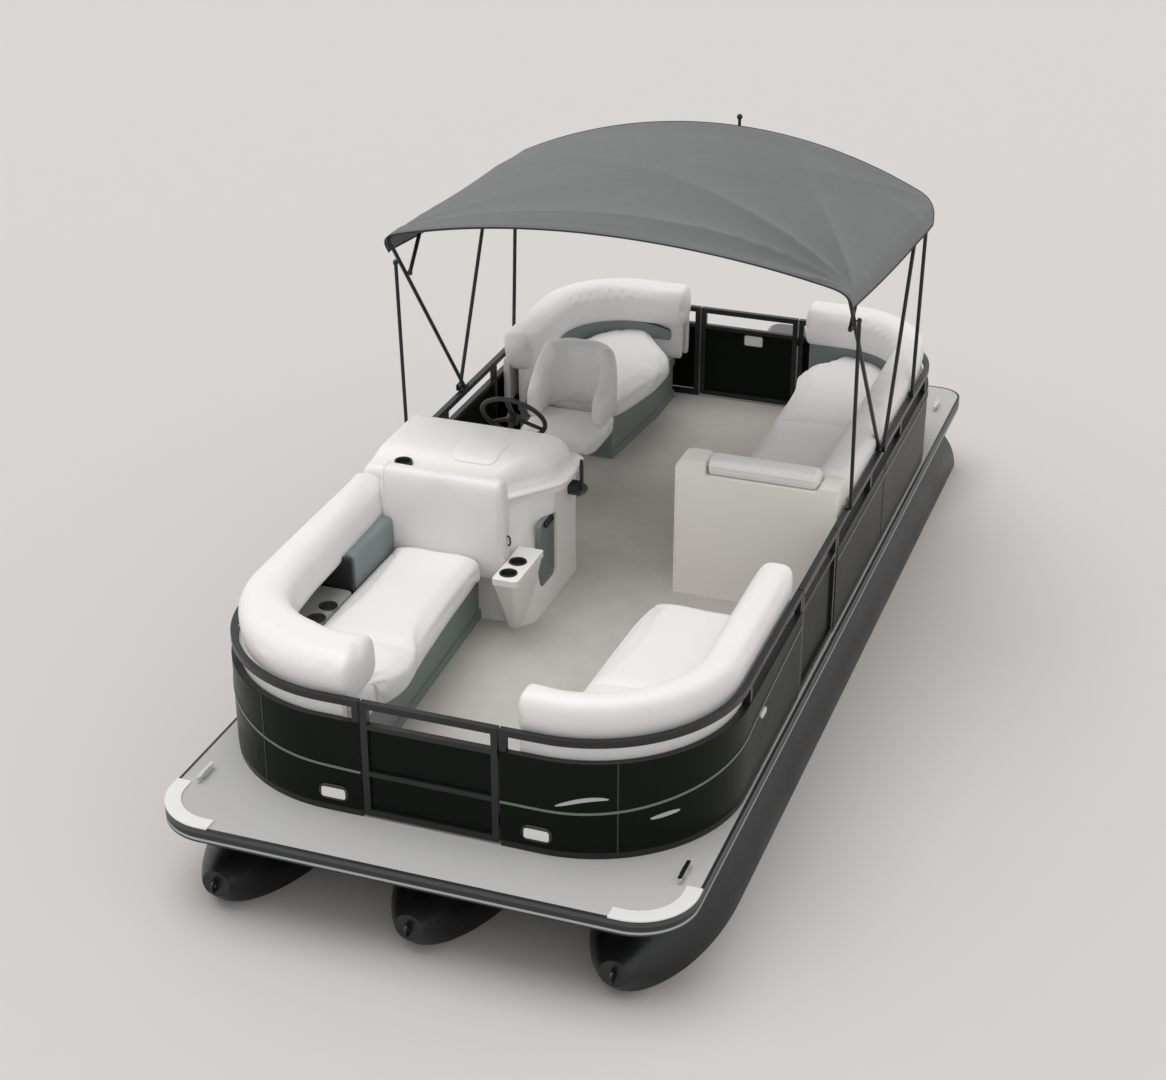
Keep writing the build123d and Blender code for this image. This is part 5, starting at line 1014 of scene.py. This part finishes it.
class BOAT_OT_helm(bpy.types.Operator):
    """Console, dash, wheel, throttle, chair and the back rest ahead of the console."""

    bl_idname = "boat.helm"
    bl_label = "Helm"

    def execute(self, context):
        paint(HELM_FINISHES)
        self.dash()
        self.dash_fittings()
        self.console_fittings()
        cushion("helm_front_back_pad", [(-1.048, -0.9085), (-0.352, -0.9085)], 0.0585,
                DECK + 0.3005, DECK + 0.865, 5.0, cap=0.030, around=96, soften=0.008,
                seams=(0.5,), replaces="helm_front_back", hoops=True)
        cushion("chair_seat_pad", [(-0.885, 0.765), (-0.395, 0.765)], 0.222, DECK + 0.3505,
                DECK + 0.46, 4.5, body="chair", cap=0.06, crown=0.01, soften=0.012,
                replaces="chair_seat", piping=(SEAT_PIPING,))
        self.chair_back()
        return {"FINISHED"}

    def dash(self):
        """Moulded dome of the dash on its stepped lip.

        The lip is the plan line grown by a table of margins. The dome's rings are the plan scaled
        towards its middle, and rise from the foot by the share (1 - (1 - u)^p)^(1/p) of the dome's
        height there, where u is the distance from the edge over 60 mm.
        """
        line = rounded(DASH_PLAN, 0.0085)
        rings = [in_space(grown(line, margin), 2, DECK + z) for margin, z in DASH_LIP]
        foot = rounded(DOME_PLAN, 0.002)
        foot = foot[np.linspace(0, len(foot), len(line), endpoint=False).astype(int)]
        spoke = foot - DOME_MIDDLE
        for share in np.r_[np.linspace(1, 0.9, 18), np.linspace(0.9, 0.02, 120)[1:]]:
            place = DOME_MIDDLE + share * spoke
            u = np.clip((1 - share) * np.linalg.norm(spoke, axis=1) / DOME_EDGE, 0, 1)
            rise = (1 - (1 - u) ** DOME_POWER) ** (1 / DOME_POWER)
            top = dome_height(*place.T)
            rings.append(in_space(place, 2, DOME_FOOT + rise * (top - DOME_FOOT)))
        piece = skin_over("dash_dome", rings, "gelcoat", "white_plastic")
        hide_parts("console_dash")

    def dash_fittings(self):
        """Lid, cup holder and gauges on the dash."""
        lid = rectangle((-0.765, -0.670), (-0.515, -0.420), 0.05, 0.008)
        places = [(shrunk(lid, share), lift) for share, lift in LID_STEPS]
        rings = [in_space(place, 2, dome_height(*place.T) + lift) for place, lift in places]
        skin_over("glove_lid", rings, "gelcoat", "white_plastic")
        x, y = DASH_CUP
        cup_holder("dash_cup", x, y, float(dome_height(x, y + 0.05)) + 0.0035)
        for number, x in enumerate(GAUGES):
            self.gauge(number, x)

    def gauge(self, number, x):
        """Blank gauge: a bezel and a dark face, square to the sloping face that looks aft."""
        out = np.array([0.0, math.cos(GAUGE_LEAN), math.sin(GAUGE_LEAN)])
        heart = np.array([x, -0.156, DECK + 0.770]) - out * 0.006
        angle = np.linspace(0, 2 * np.pi, 40, endpoint=False)
        circle = np.column_stack([np.cos(angle), -np.sin(angle) * math.sin(GAUGE_LEAN),
                                  np.sin(angle) * math.cos(GAUGE_LEAN)])
        for name, steps, kind, slot in (("gauge", GAUGE_BEZEL, "polished", "bright_metal"),
                                        ("gauge_face", GAUGE_FACE, "gauge face", "black_plastic")):
            rings = [heart + radius * circle + reach * out for radius, reach in steps]
            skin_over(f"{name}_{number}", rings, kind, slot)

    def console_fittings(self):
        """Cup holders on the shelf, lining and latch of the side recess, and the back's hook."""
        for number, y in enumerate((-0.915, -1.050)):
            cup_holder(f"console_cup_{number}", -0.290, y, DECK + 0.420)
        recess, latch = rectangle(*RECESS, 0.028, 0.01), rectangle(*LATCH, 0.013, 0.005)
        for name, ring, steps, kind in (("console_recess", recess, RECESS_STEPS, "recess"),
                                        ("console_latch", latch, LATCH_STEPS, "dark hole")):
            rings = [in_space(shrunk(ring, share), 0, x) for share, x in steps]
            skin_over(name, rings, kind, "black_plastic")
        tube("back_hook", resample(BACK_HOOK, 0.004), 0.0045, "black plastic", around=10)

    def chair_back(self):
        """Bucket back of the helm chair: a padded wall round the seat, low at the wings."""
        line = rounded(CHAIR_PLAN, 0.01)
        keep = line[line[:, 1] > CHAIR_WINGS]
        gaps = np.linalg.norm(np.diff(keep, axis=0), axis=1)
        if gaps.max() > 0.05:
            keep = np.roll(keep, -int(np.argmax(gaps)) - 1, axis=0)
        share = np.clip((keep[:, 1] - CHAIR_WINGS) / 0.25, 0, 1)
        cushion("chair_back_pad", keep, 0.043 + 0.010 * share, DECK + 0.4605,
                DECK + 0.635 + 0.225 * share ** 1.6, 3.2, body="chair", cap=0.045, around=64,
                soften=0.008, replaces="chair_back")


# Bimini
BIMINI_FINISHES = {
    "powder coat": "bimini_front_bow bimini_main_bow bimini_rear_bow bimini_second_bow "
                   "bimini_struts bimini_mounts",
}
PIVOT = (0.670, 1.133)
# Bows under the canvas: foot y and z, lean, half width, leg, rise
BOWS = {
    "front": (*PIVOT, -38.2, 1.242, 1.604, 0.270),
    "main": (*PIVOT, 25.0, 1.270, 1.269, 0.310),
    "rear": (1.490, 1.113, 3.979, 1.270, 1.1501, 0.310),
}
# Small bow hinged on the front one, which props the cloth from below
SECOND_BOW = (-0.103, 2.1153, 39.5, 1.214, 0.325, 0.275)
BOW_CORNER = 0.13
BOW_TUBE = 0.011
CLOTH_GAP = 0.003
# Rows of the cloth in each span: front hem, to the main bow, to the rear bow, rear hem
CLOTH_ROWS = (4, 96, 24, 4)
# Hem beyond the end bows, and the dip between the main and the rear bow
HEM_OUT = 0.030
HEM_DOWN = 0.004
REAR_SAG = 0.004
CLOTH_THICK = 0.0016
HEM_RADIUS = 0.0045
# Rows between which the second bow props the cloth, how far inside its legs, and the width over
# which the lift grows from there
PROP_START = 3
PROP_END = 100
PROP_EDGE = 0.02
PROP_FADE = 0.10
# Folds from the corners: row and column of the corner, steepness, reach and number
FOLDS = [(0, -1, 0.23, 0.55, 11.0), (0, 0, 0.07, 0.45, 8.0), (-1, -1, 0.05, 0.40, 7.0),
         (-1, 0, 0.04, 0.35, 7.0)]


def arc_radius(half, rise):
    """Radius of the arc over a chord of twice the half width, with that rise."""
    return (half ** 2 + rise ** 2) / (2 * rise)


def bow_section(key, skirt, count=140):
    """Line across the canvas over one bow, as (x, y, z) points.

    The bow is an arc through its two legs and its crown; small arcs join it to the legs. The
    line keeps outside it by the tube's radius and a gap, and ends a skirt's length down the legs.
    """
    y, z, lean, half, leg, rise = BOWS[key]
    away = BOW_TUBE + CLOTH_GAP
    radius = arc_radius(half, rise)
    heart = leg + rise - radius
    knee = heart + math.sqrt((radius - BOW_CORNER) ** 2 - (half - BOW_CORNER) ** 2)
    turn = math.atan2(half - BOW_CORNER, knee - heart)
    arch = np.linspace(0, turn, 60)
    corner = np.linspace(turn, np.pi / 2, 20)[1:]
    drop = np.linspace(0, skirt, 8)[1:]
    side = np.vstack([
        np.stack([(radius + away) * np.sin(arch), heart + (radius + away) * np.cos(arch)], -1),
        np.stack([half - BOW_CORNER + (BOW_CORNER + away) * np.sin(corner),
                  knee + (BOW_CORNER + away) * np.cos(corner)], -1),
        np.stack([np.full(len(drop), half + away), knee - drop], -1)])
    whole = np.vstack([side[:0:-1] * [-1, 1], side])
    reach = reach_along(whole)
    places = np.linspace(0, reach[-1], count)
    across, up = (np.interp(places, reach, column) for column in whole.T)
    tilt = math.radians(lean)
    return np.stack([across, y + up * math.sin(tilt), z + up * math.cos(tilt)], -1)


class BOAT_OT_bimini(bpy.types.Operator):
    """Canopy cloth over its bows, with its hem, and the finishes of the bows."""

    bl_idname = "boat.bimini"
    bl_label = "Bimini"

    def execute(self, context):
        paint(BIMINI_FINISHES)
        front, main, rear = (bow_section(key, sizes().skirt) for key in ("front", "main", "rear"))
        lines = [front + (0.0, -HEM_OUT, -HEM_DOWN), front, main, rear,
                 rear + (0.0, HEM_OUT, -HEM_DOWN)]
        sags = (0.0, sizes().canvas_sag, REAR_SAG, 0.0)
        rows = []
        for a, b, count, sag in zip(lines, lines[1:], CLOTH_ROWS, sags):
            t = np.linspace(0, 1, count, endpoint=False)[:, None, None]
            sheet = a[None] * (1 - t) + b[None] * t
            sheet[..., 2] -= sag * 4 * t[..., 0] * (1 - t[..., 0])
            rows.append(sheet)
        surface = self.prop(self.wrinkle(np.vstack([*rows, lines[-1][None]])))
        count, across = surface.shape[:2]
        i, k = np.meshgrid(np.arange(count - 1), np.arange(across - 1), indexing="ij")
        first = i * across + k
        quads = np.stack([first, first + 1, first + across + 1, first + across], -1)
        canopy = place_mesh("canopy_cloth", surface, quads.reshape(-1, 4).tolist(), "canvas",
                            body=None)
        wall = canopy.modifiers.new("thickness", "SOLIDIFY")
        wall.thickness = CLOTH_THICK
        wall.offset = 0.0
        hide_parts("canopy")
        edge = np.vstack([surface[0], surface[1:, -1], surface[-1, -2::-1], surface[-2:0:-1, 0]])
        hem = tube("canopy_hem", resample(edge, 0.02)[:-1], HEM_RADIUS, "hem tape", "canvas",
                   None, around=10, closed=True)
        for piece in (canopy, hem):
            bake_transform(piece)
        return {"FINISHED"}

    def prop(self, surface):
        """Lifts the cloth over the second bow.

        In each column the lift is what the bow's crown needs, and it falls off in a straight line
        to the front and main bows.
        """
        foot_y, foot_z, lean, half, leg, rise = SECOND_BOW
        radius = arc_radius(half, rise)
        tilt = math.radians(lean)
        lifted = surface.copy()
        for k in range(surface.shape[1]):
            column = surface[:, k]
            x = float(column[:, 0].mean())
            if abs(x) > half - PROP_EDGE:
                continue
            up = leg + rise - radius + math.sqrt(radius ** 2 - x ** 2)
            y, z = foot_y + up * math.sin(tilt), foot_z + up * math.cos(tilt)
            crown = int(np.argmin(np.abs(column[:PROP_END, 1] - y)))
            need = max(z + BOW_TUBE + 0.005 - column[crown, 2], 0.004)
            edge = min(1.0, (half - PROP_EDGE - abs(x)) / PROP_FADE)
            rows = np.arange(len(column))
            before = (rows - PROP_START) / max(crown - PROP_START, 1)
            after = (PROP_END - rows) / max(PROP_END - crown, 1)
            tent = np.clip(np.minimum(before, after), 0, 1)
            lifted[:, k, 2] += need * edge * (tent - 0.15 * tent ** 6)
        return lifted

    def wrinkle(self, surface):
        """Adds folds that fan out of the four corners.

        Each lifts the cloth by steepness * distance * exp(-distance / reach)
        * (1 - |sin(n angle)|^0.7), and none lifts the hem.
        """
        shift = np.zeros(surface.shape[:2])
        for number, (row, column, steepness, reach, folds) in enumerate(FOLDS):
            gap = surface - surface[row, column]
            distance = np.hypot(gap[..., 0], gap[..., 1])
            angle = np.arctan2(np.abs(gap[..., 1]), np.abs(gap[..., 0]) + 1e-6)
            fold = 1 - np.abs(np.sin(angle * folds / 2 + 0.4 * number)) ** 0.7
            shift += steepness * distance * np.exp(-distance / reach) * fold
        row, side = shares(surface), shares(surface[0])
        hem = np.clip(np.minimum(row, 1 - row)[:, None] * 14, 0, 1)
        hem = hem * np.clip(np.minimum(side, 1 - side)[None] * 30, 0, 1)
        out = surface.copy()
        out[..., 2] += shift * hem
        return out


# Motor
MOTOR_FINISHES = {
    "motor paint": "clamp_bracket swivel_bracket outboard_cowl outboard_leg",
    "engine block": "powerhead", "polished": "propeller",
}


class BOAT_OT_motor(bpy.types.Operator):
    """Finishes of the outboard motor."""

    bl_idname = "boat.motor"
    bl_label = "Motor"

    def execute(self, context):
        paint(MOTOR_FINISHES)
        return {"FINISHED"}


class BOAT_PT_panel(bpy.types.Panel):
    """Lists the boat's operators, sizes and colours."""

    bl_label = "Boat"
    bl_space_type = "VIEW_3D"
    bl_region_type = "UI"
    bl_category = "Boat"

    def draw(self, context):
        for step in STEPS:
            self.layout.operator(step.bl_idname)
        for group in (context.scene.boat_sizes, context.scene.boat_colours):
            for key in group.__annotations__:
                self.layout.prop(group, key)


STEPS = [BOAT_OT_stage, BOAT_OT_hull, BOAT_OT_fence, BOAT_OT_lounges, BOAT_OT_helm,
         BOAT_OT_bimini, BOAT_OT_motor]
CLASSES = [BoatSizes, BoatColours, *STEPS, BOAT_PT_panel]


def register():
    """Registers the classes and the scene's two groups of settings."""
    for kind in CLASSES:
        bpy.utils.register_class(kind)
    bpy.types.Scene.boat_sizes = bpy.props.PointerProperty(type=BoatSizes)
    bpy.types.Scene.boat_colours = bpy.props.PointerProperty(type=BoatColours)


def unregister():
    """Removes what register added."""
    del bpy.types.Scene.boat_colours
    del bpy.types.Scene.boat_sizes
    for kind in reversed(CLASSES):
        bpy.utils.unregister_class(kind)


def main():
    """Makes the whole scene."""
    register()
    for step in STEPS:
        group, action = step.bl_idname.split(".")
        getattr(getattr(bpy.ops, group), action)()
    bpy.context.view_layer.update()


if __name__ == "__main__":
    main()
